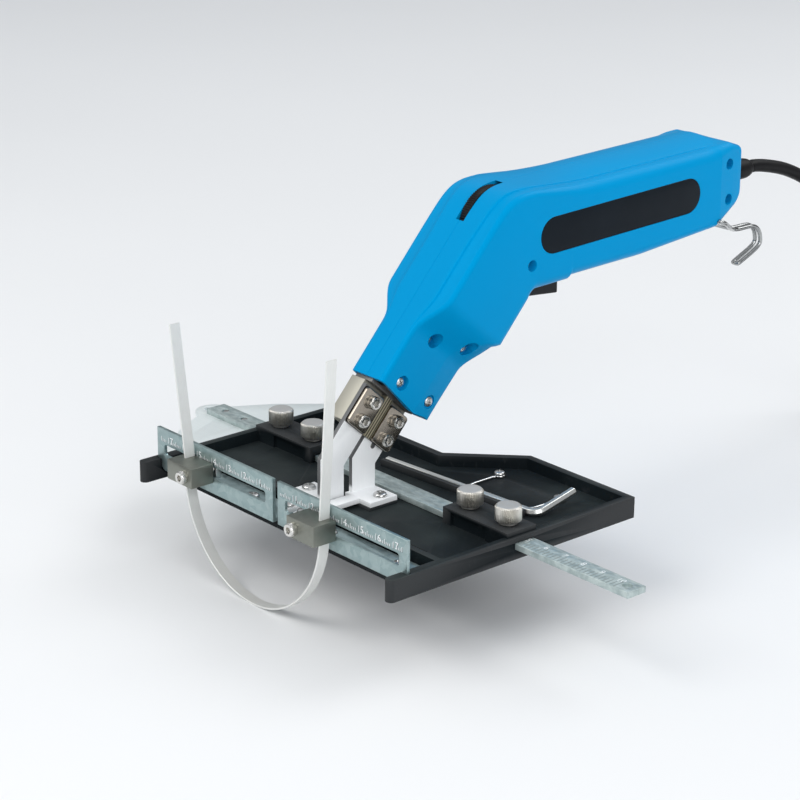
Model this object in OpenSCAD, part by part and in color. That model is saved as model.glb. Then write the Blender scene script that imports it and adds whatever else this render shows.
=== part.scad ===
// Electric hot knife on a grooving sled. Millimetres, +Z up, +Y towards the cord, origin on the sole.

/* [Sled tray] */
// Half of the tray's width
tray_half_w = 81; // [74:1:92]
// Length of the long right side, from the front edge
tray_long = 118; // [108:1:135]
// Length of the short left side, from the front edge
tray_short = 91.5; // [86:0.5:100]
// Where the slanted rear edge starts, from the middle
slant_x = -6; // [-20:1:4]
// Thickness of the floor
floor_t = 4; // [3:0.5:5]
// Height of the rim over the sole
rim_h = 9; // [8:0.5:12]
// Thickness of the rim
wall_t = 3.5; // [2.5:0.5:5]
// How far the side walls run out in front
prong_len = 13; // [10:1:18]
// Width of each front prong
prong_w = 4.5; // [3.5:0.5:6]
// Front face of the rib across the tray
rib_y = 13; // [12.5:0.5:15]
// Thickness of the rib across the tray
rib_t = 3; // [2:0.5:3.5]
// Front edge of the two floor slots
slot_y = 18; // [17:0.5:19]
// Width of the floor slots
slot_w = 6; // [4:0.5:8]
// Inner end of the floor slots, from the middle
slot_in = 20; // [19.5:0.5:26]
// Outer end of the floor slots, from the tray's side
slot_edge = 18; // [14:1:28]

/* [Thumb screw bosses] */
// Length of each boss, from the tray's side
boss_len = 39; // [37:1:43]
// Height of the boss over the sole
boss_h = 11; // [10:0.5:14]
// Wall of the boss beside the guide bar
boss_wall = 2.6; // [2:0.2:4]
// Inner thumb screw, from the boss's inner end
thumb_inset = 7.4; // [6.5:0.1:9]
// Outer thumb screw, from the tray's side
thumb_edge = 9.6; // [9.4:0.1:13]
// Diameter of the knurled heads
thumb_d = 10.8; // [9:0.2:12]
// Height of the knurled heads
thumb_h = 7.8; // [6:0.2:10]
// Diameter of the thumb screw shanks
thumb_shank_d = 4; // [3:0.5:5]

/* [Guide bar] */
// Width of the bar
bar_w = 9.8; // [8:0.2:12]
// Thickness of the bar
bar_t = 2.5; // [2:0.5:4]
// Front edge of the bar
bar_y = 51.3; // [51:0.1:52]
// Right end of the bar
bar_right = 141; // [120:1:170]
// Left end of the bar
bar_left = -119; // [-135:1:-112]
// Outer edge of the wing plate
wing_out = -128.6; // [-150:0.2:-125]
// Half length of the wing plate's outer edge
wing_half = 8.2; // [7:0.2:12]
// Half length of the wing plate's inner edge
wing_root = 44; // [30:1:60]
// Thickness of the wing plate
wing_t = 2; // [1.5:0.5:2.5]
// Diameter of the wing plate's pivot hole
wing_hole_d = 4.5; // [3:0.5:5]

/* [Brackets] */
// Gap between a bracket's outer end and the tray's side
bracket_end = 1.5; // [1:0.25:3]
// Gap between the two brackets
bracket_gap = 3; // [2:0.5:5]
// Sheet thickness of the brackets
bracket_t = 1.5; // [1:0.25:2]
// Height of the upright over the floor
bracket_h = 18.5; // [16:0.5:24]
// Depth of the bracket's foot
bracket_foot = 13; // [10:0.5:14]
// Gap between the upright and the tray's front edge
bracket_lead = 2; // [1.5:0.25:3]
// Height of the long slot
bracket_slot_h = 5; // [4.6:0.2:6]

/* [Ribbon blade] */
// Radius of the half round blade
blade_r = 43.5; // [34:0.5:48]
// Width of the ribbon
blade_w = 5; // [4:0.5:6]
// Thickness of the ribbon
blade_t = 0.8; // [0.5:0.1:1.2]
// Middle of the blade, from the middle of the sled
blade_x = -9.3; // [-14:0.1:0]
// Left leg over the clamp block
leg_left = 56; // [40:1:90]
// Right leg over the clamp block
leg_right = 66; // [40:1:90]
// Outward lean of the left leg
lean_left = 9; // [0:0.5:12]
// Outward lean of the right leg
lean_right = 4; // [0:0.5:12]
// Clamp block along the bracket
block_w = 16.5; // [15:0.5:20]
// Clamp block from front to back
block_d = 11.2; // [9:0.2:14]
// Clamp block height
block_h = 8.6; // [8:0.2:12]
// Diameter of the clamp screws
clamp_d = 3; // [3:0.5:4]

/* [Knife body] */
// Angle of the nose over the sole
nose_tilt = 48.5; // [44:0.5:52]
// Middle of the nose's open end, along the sled
nose_y = 56.2; // [54:0.1:60]
// Middle of the nose's open end, over the sole
nose_z = 45.2; // [43:0.1:50]
// Half depth of the nose, front to back
nose_half = 16.5; // [15:0.5:18]
// Half width of the nose
nose_half_w = 9.7; // [9.4:0.1:12]
// Depth of the belly behind the nose axis
belly = 24.5; // [23:0.5:27]
// Half width of the grip
grip_half_w = 19.3; // [18:0.1:22]
// Length of the grip behind the bend
grip_len = 127; // [120:1:150]
// Rise of the grip's top edge
grip_tilt = 1.5; // [0:0.5:3]
// Wall of the shells
shell_t = 2.4; // [2:0.1:3]
// Diameter of the regulator wheel
wheel_d = 31.2; // [30:0.2:31.6]
// Width of the regulator wheel
wheel_w = 4; // [3.6:0.2:6]
// Travel of the trigger
trigger_travel = 4.5; // [2:0.5:5]
// Half width of the trigger
trigger_half_w = 6.5; // [5:0.5:8]
// Length of the label plate
label_len = 96.5; // [80:0.5:100]
// Height of the label plate
label_h = 15.6; // [12:0.2:18]
// Diameter of the shell screws
shell_screw_d = 2.4; // [2:0.1:2.4]

/* [Terminal head] */
// Width of each terminal block
terminal_w = 12.2; // [11:0.2:12.4]
// Length of the terminal blocks
terminal_len = 19; // [18:0.5:22]
// Thickness of the terminal blocks
terminal_t = 8; // [6:0.5:8]
// Front terminal's middle, from the nose axis
terminal_front = 8.8; // [8.4:0.1:9.2]
// Rear terminal's middle, from the nose axis
terminal_rear = -8; // [-8.6:0.1:-7.6]
// Thickness of the clamp plates
clamp_plate_t = 2; // [1.5:0.25:3]
// Diameter of the terminal screws
terminal_screw_d = 3; // [2.5:0.5:3]
// Sheet thickness of the two conductors
conductor_t = 2; // [1.5:0.25:2.5]
// Front edge of the front conductor's upright
front_leg_y = 19; // [18.5:0.5:22]
// Front edge of the rear conductor's upright
rear_leg_y = 35.6; // [35.2:0.1:37]
// Width of the conductors' uprights
conductor_w = 12.2; // [11:0.2:12.4]

/* [Hanging hook] */
// Wire of the hook
hook_d = 2; // [1.5:0.25:2.5]
// Gap between the hook's legs and the body's sides
hook_side_gap = 0.4; // [0.3:0.1:1]

/* [Cord] */
// Diameter of the cord
cord_d = 6; // [5:0.5:7]
// Length of the cord from the strain relief to the plug
cord_len = 1800; // [1500:50:2500]
// Turns in each layer of the coil
coil_turns = 3; // [2:1:4]

/* [Hidden] */
$fn = 48;
// Overrun of every cut
over = 1;
// Gap beside a part that slides or turns
run_gap = 0.3;
// Gap under a part that slides on a flat face
slide_gap = 0.2;
// Gap around a pin or screw
pin_gap = 0.2;
// Gap between two seated parts
seat_gap = 0.1;

// Screw heads
cap_head_share = 1.83;
pan_head_share = 1.9;
pan_height_share = 0.55;
socket_share = 0.8;
cross_share = 0.12;

// Places that several pieces share
bar_mid = bar_y + bar_w / 2;
bar_z = floor_t + slide_gap;
bar_top = bar_z + bar_t;
boss_front = bar_y - run_gap - boss_wall;
boss_depth = bar_w + 2 * (run_gap + boss_wall);
slant_end = slant_x + tray_long - tray_short;
slant_tan = tan(22.5);
slot_out = tray_half_w - slot_edge;
boss_in = tray_half_w - boss_len;
thumb_in = boss_in + thumb_inset;
thumb_out = tray_half_w - thumb_edge;
bracket_in = bracket_gap / 2;
bracket_len = tray_half_w - bracket_end - bracket_in;
bracket_front = -bracket_lead - bracket_t;
bracket_slot_z = floor_t + bracket_h / 2;
bracket_top = floor_t + bracket_h;
block_back = bracket_front - run_gap;
block_z = bracket_slot_z - block_h / 2;
block_edge = 4;
clamp_inset = 4.5;
left_blade_x = blade_x - blade_r;
right_blade_x = blade_x + blade_r;
left_clamp_x = left_blade_x - block_edge + block_w - clamp_inset;
right_clamp_x = right_blade_x + block_edge - block_w + clamp_inset;

// Nose frame: s runs up the nose, t runs towards its front face
function nose_at(s, t) = [
    nose_y + s * cos(nose_tilt) - t * sin(nose_tilt),
    nose_z + s * sin(nose_tilt) + t * cos(nose_tilt)
];
module in_nose() {
    translate([0, nose_y, nose_z]) rotate([nose_tilt - 90, 0, 0]) children();
}
// Box in the nose frame, from its least to its greatest x, t and s
module nose_box(x0, x1, t0, t1, s0, s1) {
    in_nose() translate([x0, -t1, s0]) cube([x1 - x0, t1 - t0, s1 - s0]);
}
// Round bar along X in the nose frame
module nose_rod(x0, x1, t, s, d) {
    in_nose() translate([x0, -t, s]) rotate([0, 90, 0]) cylinder(d = d, h = x1 - x0);
}
// Flat shape drawn in Y and Z, given a thickness along X
module plate_yz(x0, thick) {
    translate([x0, 0, 0]) rotate([90, 0, 90]) linear_extrude(thick) children();
}
// Flat shape drawn in X and Z, given a thickness towards -Y
module plate_xz(y0, thick) {
    translate([0, y0, 0]) rotate([90, 0, 0]) linear_extrude(thick) children();
}
// Long slot with round ends, drawn flat
module slot_2d(x0, x1, width) {
    translate([x0, -width / 2]) square([x1 - x0, width]);
    translate([x0, 0]) circle(d = width);
    translate([x1, 0]) circle(d = width);
}
// Screw standing on z = 0 with its shank downwards
module cap_screw(d, shank) {
    head = d * cap_head_share;
    difference() {
        union() {
            cylinder(d = head, h = d);
            translate([0, 0, -shank]) cylinder(d = d, h = shank + d / 2);
        }
        translate([0, 0, d / 2]) cylinder(d = d * socket_share, h = d, $fn = 6);
    }
}
module pan_screw(d, shank) {
    head = d * pan_height_share;
    difference() {
        union() {
            cylinder(d1 = d * pan_head_share, d2 = d * pan_head_share * socket_share, h = head);
            translate([0, 0, -shank]) cylinder(d = d, h = shank + head / 2);
        }
        for (turn = [0, 90])
            rotate([0, 0, turn]) translate([-d / 2, -d * cross_share, head / 2])
                cube([d, 2 * d * cross_share, head]);
    }
}

// Sled tray
rib_back = rib_y + rib_t;
floor_screw_d = 3;
screw_tip_z = 0.5;
flange_top = floor_t + bracket_t;
// Pads under the conductors' feet are as high as the brackets' feet
notch_half = 9;
tab_in = 2;
tab_out = 8;
tab_y = 4;
foot_out = 15;
front_foot_out = 18;
rear_foot_y = 33;
foot_gap = 0.6;
key_stop_t = 2;
key_stop_h = 3;
// Shallow panel in the front face of each boss
panel_edge = 4.5;
panel_depth = 1.2;
panel_top = 1.4;
// Outline of the tray, drawn in by some distance
function tray_points(inset, front) = [
    [-tray_half_w + inset, front],
    [tray_half_w - inset, front],
    [tray_half_w - inset, tray_long - inset],
    [slant_end + inset * slant_tan, tray_long - inset],
    [slant_x + inset * slant_tan, tray_short - inset],
    [-tray_half_w + inset, tray_short - inset]
];
module thumb_places() {
    for (x = [-thumb_out, -thumb_in, thumb_in, thumb_out])
        translate([x, bar_mid, 0]) children();
}
// One prong and what stands on the floor on that side, drawn for the right side
module tray_prong() {
    translate([tray_half_w - prong_w / 2, prong_w / 2 - prong_len, 0]) cylinder(d = prong_w, h = rim_h);
    translate([tray_half_w - prong_w, prong_w / 2 - prong_len, 0]) cube([prong_w, prong_len, rim_h]);
}
module tray_boss() {
    translate([boss_in, boss_front, 0]) cube([tray_half_w - wall_t / 2 - boss_in, boss_depth, boss_h]);
}
module both_sides() {
    children();
    mirror([1, 0, 0]) children();
}
module sled_tray() {
    color([0.09, 0.09, 0.1])
    difference() {
        union() {
            difference() {
                linear_extrude(rim_h) polygon(tray_points(0, 0));
                translate([0, 0, floor_t])
                    linear_extrude(rim_h) polygon(tray_points(wall_t, rib_back));
                translate([prong_w - tray_half_w, -over, floor_t])
                    cube([2 * (tray_half_w - prong_w), rib_y + over, rim_h]);
            }
            both_sides() tray_prong();
            both_sides() tray_boss();
            translate([key_x1 - key_bend, key_y, 0]) rotate([0, 0, key_skew])
                translate([key_bend - key_long, -key_corner - seat_gap - key_stop_t, 0])
                    cube([key_long - key_bend, key_stop_t, floor_t + key_stop_h]);
            translate([-conductor_t / 2, rear_foot_y, 0])
                cube([foot_out + conductor_t / 2, rear_leg_y + conductor_w - rear_foot_y, flange_top]);
            translate([-front_foot_out, front_leg_y, 0])
                cube([front_foot_out + conductor_t / 2, conductor_w, flange_top]);
        }
        translate([-notch_half, rib_y - over, flange_top]) cube([2 * notch_half, rib_t + 2 * over, rim_h]);
        both_sides() {
            translate([slot_in + slot_w / 2, slot_y + slot_w / 2, -over])
                linear_extrude(floor_t + 2 * over) slot_2d(0, slot_out - slot_in - slot_w, slot_w);
            translate([tray_half_w - prong_w - over, bracket_front - run_gap, floor_t])
                cube([bracket_len + bracket_in - tray_half_w + prong_w + over + run_gap,
                      bracket_t + 2 * run_gap, rim_h]);
            translate([boss_in + panel_edge, boss_front - over, floor_t])
                cube([thumb_out - boss_in - 2 * panel_edge, panel_depth + over,
                      boss_h - floor_t - panel_top]);
        }
        translate([-tray_half_w - over, bar_y - run_gap, floor_t])
            cube([2 * (tray_half_w + over), bar_w + 2 * run_gap, bar_t + slide_gap + run_gap]);
        thumb_places() translate([0, 0, floor_t]) cylinder(d = thumb_shank_d + pin_gap, h = boss_h);
        bracket_screw_places() translate([0, 0, -over]) cylinder(d = floor_screw_d + pin_gap, h = rim_h);
        conductor_screw_places() translate([0, 0, -over]) cylinder(d = floor_screw_d + pin_gap, h = rim_h);
        clip_places() translate([0, 0, -over]) cylinder(d = clip_screw_d + pin_gap, h = rim_h);
    }
}

// Brackets: bent sheet with a long slot
slot_end_share = 0.06;
slot_corner = 1.4;
bracket_corner = 5;
// Slot with small corner radii, drawn flat
module rounded_slot(x0, x1, width, r) {
    translate([x0, r - width / 2]) square([x1 - x0, width - 2 * r]);
    translate([x0 + r, -width / 2]) square([x1 - x0 - 2 * r, width]);
    for (x = [x0 + r, x1 - r])
        for (y = [r - width / 2, width / 2 - r]) translate([x, y]) circle(r = r);
}
bracket_screw_shares = [0.3, 0.82];
bracket_screw_y = bracket_foot / 2 - bracket_lead;
module bracket_screw_places() {
    for (side = [-1, 1])
        for (share = bracket_screw_shares)
            translate([side * (bracket_in + share * bracket_len), bracket_screw_y, 0]) children();
}
module bracket() {
    slot_from = bracket_in + bracket_len * slot_end_share;
    slot_to = bracket_in + bracket_len * (1 - slot_end_share);
    color([0.66, 0.69, 0.72])
    difference() {
        union() {
            plate_xz(bracket_front + bracket_t, bracket_t) difference() {
                polygon([
                    [bracket_in, floor_t],
                    [bracket_in + bracket_len - bracket_corner, floor_t],
                    [bracket_in + bracket_len, floor_t + bracket_corner / 2],
                    [bracket_in + bracket_len, bracket_top],
                    [bracket_in, bracket_top]
                ]);
                translate([0, bracket_slot_z])
                    rounded_slot(slot_from, slot_to, bracket_slot_h, slot_corner);
            }
            translate([bracket_in, bracket_front, floor_t])
                cube([bracket_len - bracket_corner, bracket_t + bracket_foot, bracket_t]);
        }
        bracket_screw_places() cylinder(d = floor_screw_d + pin_gap, h = rim_h);
        conductor_screw_places() cylinder(d = floor_screw_d + pin_gap, h = rim_h);
    }
}
module bracket_right() {
    bracket();
}
module bracket_left() {
    mirror([1, 0, 0]) bracket();
}
module bracket_screws() {
    color([0.75, 0.75, 0.77])
    bracket_screw_places() translate([0, 0, flange_top]) pan_screw(floor_screw_d, flange_top - screw_tip_z);
}

// Clamp blocks, their screws and nuts, and the ribbon they hold
nut_w = 7;
nut_t = 3;
block_front = block_back - block_d;
blade_back = block_back - seat_gap;
module clamp_block(x, way) {
    color([0.74, 0.73, 0.7])
    difference() {
        translate([way > 0 ? x - block_edge : x + block_edge - block_w, block_front, block_z])
            cube([block_w, block_d, block_h]);
        translate([x - blade_t / 2 - seat_gap, blade_back - blade_w - seat_gap, block_z - over])
            cube([blade_t + 2 * seat_gap, block_d, block_h + 2 * over]);
        translate([x + way * (block_w - block_edge - clamp_inset), block_back + over, bracket_slot_z])
            rotate([90, 0, 0]) cylinder(d = clamp_d + pin_gap, h = block_d + 2 * over);
    }
}
module clamp_block_left() {
    clamp_block(left_blade_x, 1);
}
module clamp_block_right() {
    clamp_block(right_blade_x, -1);
}
module clamp_places() {
    for (x = [left_clamp_x, right_clamp_x])
        translate([x, 0, bracket_slot_z]) children();
}
nut_front = bracket_front + bracket_t + run_gap;
module clamp_screws() {
    color([0.12, 0.12, 0.13])
    clamp_places() translate([0, block_front, 0]) rotate([90, 0, 0])
        cap_screw(clamp_d, nut_front + nut_t - block_front);
}
module clamp_nuts() {
    color([0.75, 0.75, 0.77])
    clamp_places() difference() {
        translate([-nut_w / 2, nut_front, -nut_w / 2]) cube([nut_w, nut_t, nut_w]);
        translate([0, nut_front + nut_t + over, 0]) rotate([90, 0, 0])
            cylinder(d = clamp_d + seat_gap, h = nut_t + 2 * over);
    }
}
// The half circle starts a little over the clamp blocks' undersides
blade_rise = 2;
blade_mid_z = block_z + blade_rise;
leg_z = block_z + block_h;
module blade_leg(x, lean, leg) {
    translate([x - blade_t / 2, blade_mid_z]) square([blade_t, leg_z - blade_mid_z]);
    translate([x, leg_z]) rotate(lean) translate([-blade_t / 2, -blade_t / 2]) square([blade_t, leg]);
}
module ribbon_blade() {
    color([0.78, 0.77, 0.74])
    plate_xz(blade_back, blade_w) {
        translate([blade_x, blade_mid_z]) difference() {
            circle(r = blade_r + blade_t / 2, $fn = 96);
            circle(r = blade_r - blade_t / 2, $fn = 96);
            translate([-2 * blade_r, 0]) square([4 * blade_r, 2 * blade_r]);
        }
        blade_leg(left_blade_x, lean_left, leg_left);
        blade_leg(right_blade_x, -lean_right, leg_right);
    }
}

// Guide bar with its wing plate
rivet_d = 3.2;
rivet_sink = 0.2;
rivet_shares = [0.38, 0.68];
wing_gap = 2.5;
wing_in = -tray_half_w - wing_gap;
function rivet_x(share) = wing_out + share * (wing_in - wing_out);
wing_hole_inset = 5;
wing_hole_x = wing_out + wing_hole_inset;
bar_hole_d = 4;
bar_hole_x = bar_right - bar_w / 2;
module guide_bar() {
    color([0.7, 0.73, 0.76])
    difference() {
        translate([bar_left, bar_y, bar_z]) cube([bar_right - bar_left, bar_w, bar_t]);
        for (share = rivet_shares)
            translate([rivet_x(share), bar_mid, 0]) cylinder(d = rivet_d + seat_gap, h = rim_h);
        translate([bar_hole_x, bar_mid, 0]) cylinder(d = bar_hole_d, h = rim_h);
    }
}
wing_bell_share = 0.42;
wing_bell_depth_share = 0.52;
wing_tab_share = 0.27;
module wing_plate() {
    bell_x = wing_out + wing_bell_share * (wing_in - wing_out);
    bell_y = wing_half + wing_bell_depth_share * (wing_root - wing_half);
    shoulder_x = wing_in - (wing_in - wing_out) * wing_tab_share;
    color([0.7, 0.73, 0.76])
    difference() {
        translate([0, bar_mid, bar_z - wing_t]) linear_extrude(wing_t) union() {
            polygon([
                [wing_in, -wing_root], [shoulder_x, -wing_root], [bell_x, -bell_y],
                [wing_out + wing_half, -wing_half], [wing_out + wing_half, wing_half],
                [bell_x, bell_y], [shoulder_x, wing_root], [wing_in, wing_root]
            ]);
            translate([wing_out + wing_half, 0]) circle(r = wing_half);
        }
        for (share = rivet_shares)
            translate([rivet_x(share), bar_mid, 0]) cylinder(d = rivet_d + seat_gap, h = rim_h);
        translate([wing_hole_x, bar_mid, -over]) cylinder(d = wing_hole_d, h = rim_h);
    }
}
module wing_rivets() {
    color([0.75, 0.75, 0.77])
    for (share = rivet_shares)
        translate([rivet_x(share), bar_mid, bar_z - wing_t])
            cylinder(d = rivet_d, h = wing_t + bar_t - rivet_sink);
}

// Knurled thumb screws
thumb_neck_h = 1.4;
thumb_neck_share = 0.7;
thumb_rim = 0.6;
module thumb_screw(x) {
    color([0.86, 0.87, 0.88])
    translate([x, bar_mid, boss_h + run_gap]) {
        cylinder(d = thumb_d * thumb_neck_share, h = thumb_neck_h);
        translate([0, 0, thumb_neck_h - thumb_rim / 2])
            cylinder(d1 = thumb_d - thumb_rim, d2 = thumb_d, h = thumb_rim);
        translate([0, 0, thumb_neck_h]) cylinder(d = thumb_d, h = thumb_h - thumb_neck_h - thumb_rim);
        translate([0, 0, thumb_h - thumb_rim - over / 2])
            cylinder(d = thumb_d - thumb_rim, h = thumb_rim + over / 2);
        translate([0, 0, bar_top + slide_gap - boss_h - run_gap])
            cylinder(d = thumb_shank_d, h = boss_h + run_gap - bar_top - slide_gap + thumb_neck_h);
    }
}
module thumb_screw_1() {
    thumb_screw(-thumb_out);
}
module thumb_screw_2() {
    thumb_screw(-thumb_in);
}
module thumb_screw_3() {
    thumb_screw(thumb_in);
}
module thumb_screw_4() {
    thumb_screw(thumb_out);
}

// Hex key stored behind the bosses, and the wire clip that keeps it there
key_af = 3;
// Right end of the key, from the tray's side
key_edge = 18.4;
key_long = 84;
key_x1 = tray_half_w - key_edge;
key_y = 79.8;
// The key lies a little aslant
key_skew = 4.5;
key_short = 23.5;
key_bend = 4;
// The short arm stands up a little: the key is turned about its long arm
key_turn = 9;
key_corner = key_af / sqrt(3);
key_z = floor_t + key_corner * cos(30 - key_turn) + seat_gap / 2;
clip_d = 1.2;
clip_screw_d = 2.5;
// Eyes of the clip, from the tray's side
clip_edge_out = 25.2;
clip_edge_in = 60.7;
clip_x0 = tray_half_w - clip_edge_in;
clip_x1 = tray_half_w - clip_edge_out;
clip_y = 100;
clip_ring = 2;
clip_corner = 4;
clip_z = floor_t + clip_d / 2;
module hex_key() {
    color([0.7, 0.69, 0.65])
    translate([key_x1 - key_bend, key_y, key_z]) rotate([0, 0, key_skew]) rotate([key_turn, 0, 0]) {
        translate([key_bend - key_long, 0, 0]) rotate([0, 90, 0]) rotate(30)
            cylinder(r = key_corner, h = key_long - key_bend, $fn = 6);
        translate([key_bend, key_bend, 0]) rotate([-90, 0, 0])
            cylinder(r = key_corner, h = key_short - key_bend, $fn = 6);
        translate([0, key_bend, 0]) rotate([0, 0, -90])
            rotate_extrude(angle = 90) translate([key_bend, 0]) circle(r = key_corner, $fn = 6);
    }
}
module clip_places() {
    for (x = [clip_x0, clip_x1]) translate([x, clip_y, 0]) children();
}
// Where the clip's wire runs along the key
function clip_front(x) = key_y - (key_x1 - key_bend - x) * tan(key_skew)
    + (key_corner + clip_d / 2 + seat_gap) / cos(key_skew);
module key_clip() {
    color([0.8, 0.8, 0.82]) {
        clip_places() translate([0, 0, clip_z])
            rotate_extrude() translate([clip_ring, 0]) circle(d = clip_d, $fn = 16);
        tube([
            [clip_x0, clip_y - clip_ring, clip_z],
            [clip_x0, clip_front(clip_x0) + clip_corner, clip_z],
            [clip_x0 + clip_corner, clip_front(clip_x0 + clip_corner), clip_z],
            [clip_x1 - clip_corner, clip_front(clip_x1 - clip_corner), clip_z],
            [clip_x1, clip_front(clip_x1) + clip_corner, clip_z],
            [clip_x1, clip_y - clip_ring, clip_z]
        ], clip_d / 2, 8);
    }
}
module key_clip_screws() {
    color([0.75, 0.75, 0.77])
    clip_places() translate([0, 0, floor_t + clip_d]) pan_screw(clip_screw_d, floor_t + clip_d - screw_tip_z);
}

// Tube swept along points: the rings keep their twist from one to the next
function unit(v) = v / norm(v);
function way_at(p, i) = unit(
    (i < len(p) - 1 ? unit(p[i + 1] - p[i]) : [0, 0, 0])
    + (i > 0 ? unit(p[i] - p[i - 1]) : [0, 0, 0])
);
function square_to(v, w) = unit(v - (v * w) * w);
steep_share = 0.9;
function first_side(w) = square_to(abs(w[0]) < steep_share ? [1, 0, 0] : [0, 0, 1], w);
function sides_along(p) = [
    for (i = 0, side = first_side(way_at(p, 0)); i < len(p);
         i = i + 1, side = i < len(p) ? square_to(side, way_at(p, i)) : side)
        side
];
module tube(p, r, sides) {
    lead = sides_along(p);
    points = [
        for (i = [0 : len(p) - 1])
            for (k = [0 : sides - 1])
                p[i] + r * (cos(360 * k / sides) * lead[i]
                            + sin(360 * k / sides) * cross(way_at(p, i), lead[i]))
    ];
    skin = [
        for (i = [0 : len(p) - 2])
            for (k = [0 : sides - 1])
                let (a = i * sides + k, b = i * sides + (k + 1) % sides)
                    each [[a, a + sides, b], [b, a + sides, b + sides]]
    ];
    start = [for (k = [0 : sides - 1]) k];
    finish = [for (k = [0 : sides - 1]) len(p) * sides - 1 - k];
    polyhedron(points, concat([start], skin, [finish]));
}

// Conductors: bent sheet from the terminals down to the brackets
strip_w = 12.6;
front_strip_t = 8.55;
rear_strip_t = -5.95;
strip_top = -3;
conductor_foot_top = flange_top + conductor_t;
// Where the line at t meets the upright's edge at y
function strip_meets(t, y) = let (s = (y - nose_y + t * sin(nose_tilt)) / cos(nose_tilt)) nose_at(s, t);
module conductor_upright(leg_y, mid_t) {
    plate_yz(-conductor_t / 2, conductor_t) polygon([
        [leg_y, flange_top],
        [leg_y + conductor_w, flange_top],
        strip_meets(mid_t - strip_w / 2, leg_y + conductor_w),
        nose_at(strip_top, mid_t - strip_w / 2),
        nose_at(strip_top, mid_t + strip_w / 2),
        strip_meets(mid_t + strip_w / 2, leg_y)
    ]);
}
tab_screw_inset = 3;
foot_screw_inset = 4;
tab_screw_y = tab_y + tab_screw_inset;
rear_screw_x = foot_out - foot_screw_inset;
front_screw_x = foot_screw_inset - front_foot_out;
module conductor_screw_places() {
    for (x = [-(tab_in + tab_out) / 2, (tab_in + tab_out) / 2])
        translate([x, tab_screw_y, 0]) children();
    translate([rear_screw_x, rear_leg_y + conductor_w / 2, 0]) children();
    translate([front_screw_x, front_leg_y + conductor_w / 2, 0]) children();
}
module terminal_bores(mid_t) {
    for (s = [terminal_screw_low, terminal_screw_high])
        nose_rod(-terminal_t, terminal_t, mid_t, s, terminal_screw_d + pin_gap);
}
module front_conductor() {
    color([0.74, 0.75, 0.75])
    difference() {
        union() {
            conductor_upright(front_leg_y, front_strip_t);
            translate([-front_foot_out, front_leg_y, flange_top])
                cube([front_foot_out + conductor_t / 2, conductor_w, conductor_t]);
            translate([-tab_out, tab_y, flange_top])
                cube([tab_out - tab_in, front_leg_y - tab_y + over, conductor_t]);
        }
        conductor_screw_places() cylinder(d = floor_screw_d + pin_gap, h = rim_h + over);
        terminal_bores(terminal_front);
    }
}
module rear_conductor() {
    color([0.74, 0.75, 0.75])
    difference() {
        union() {
            conductor_upright(rear_leg_y, rear_strip_t);
            translate([-conductor_t / 2, rear_foot_y + foot_gap, flange_top])
                cube([foot_out + conductor_t / 2, rear_leg_y + conductor_w - rear_foot_y - foot_gap,
                      conductor_t]);
            translate([tab_in, tab_y, flange_top])
                cube([tab_out - tab_in, rear_foot_y + foot_gap - tab_y + over, conductor_t]);
        }
        conductor_screw_places() cylinder(d = floor_screw_d + pin_gap, h = rim_h + over);
        terminal_bores(terminal_rear);
    }
}
module conductor_screws() {
    color([0.75, 0.75, 0.77])
    conductor_screw_places() translate([0, 0, conductor_foot_top])
        pan_screw(floor_screw_d, conductor_foot_top - screw_tip_z);
}

// Terminal head
terminal_top = -1.5;
terminal_base = terminal_top - terminal_len;
terminal_screw_shares = [0.34, 0.79];
terminal_screw_high = terminal_top - terminal_len * terminal_screw_shares[0];
terminal_screw_low = terminal_top - terminal_len * terminal_screw_shares[1];
plate_drop = 2;
plate_top = terminal_top - plate_drop;
insulator_plug = 1.2;
plug_corner = 5.5;
plug_in = 0.1;
// Tongue of the insulator between the two terminals
tongue_gap = 0.35;
tongue_t = 1.4;
busbar_t = 3;
busbar_w = 3.4;
busbar_x = -6;
front_busbar_t = 11.1;
rear_busbar_t = -6.4;
module terminal(mid_t) {
    difference() {
        nose_box(-conductor_t / 2 - terminal_t, -conductor_t / 2,
                 mid_t - terminal_w / 2, mid_t + terminal_w / 2, terminal_base, terminal_top);
        terminal_bores(mid_t);
    }
}
module front_terminal() {
    color([0.82, 0.79, 0.7]) terminal(terminal_front);
}
module rear_terminal() {
    color([0.82, 0.79, 0.7]) terminal(terminal_rear);
}
module clamp_plate(mid_t) {
    difference() {
        nose_box(conductor_t / 2, conductor_t / 2 + clamp_plate_t,
                 mid_t - terminal_w / 2, mid_t + terminal_w / 2, terminal_base, plate_top);
        terminal_bores(mid_t);
    }
}
module front_clamp_plate() {
    color([0.76, 0.75, 0.71]) clamp_plate(terminal_front);
}
module rear_clamp_plate() {
    color([0.76, 0.75, 0.71]) clamp_plate(terminal_rear);
}
module terminal_screws() {
    color([0.2, 0.2, 0.21])
    for (mid_t = [terminal_front, terminal_rear])
        for (s = [terminal_screw_low, terminal_screw_high])
            in_nose() translate([conductor_t / 2 + clamp_plate_t, -mid_t, s]) rotate([0, 90, 0])
                cap_screw(terminal_screw_d, clamp_plate_t + conductor_t + terminal_t / 2);
}
module busbar_box(mid_t, gap, s0, s1) {
    nose_box(busbar_x - gap, busbar_x + busbar_t + gap,
             mid_t - busbar_w / 2 - gap, mid_t + busbar_w / 2 + gap, s0, s1);
}
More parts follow.
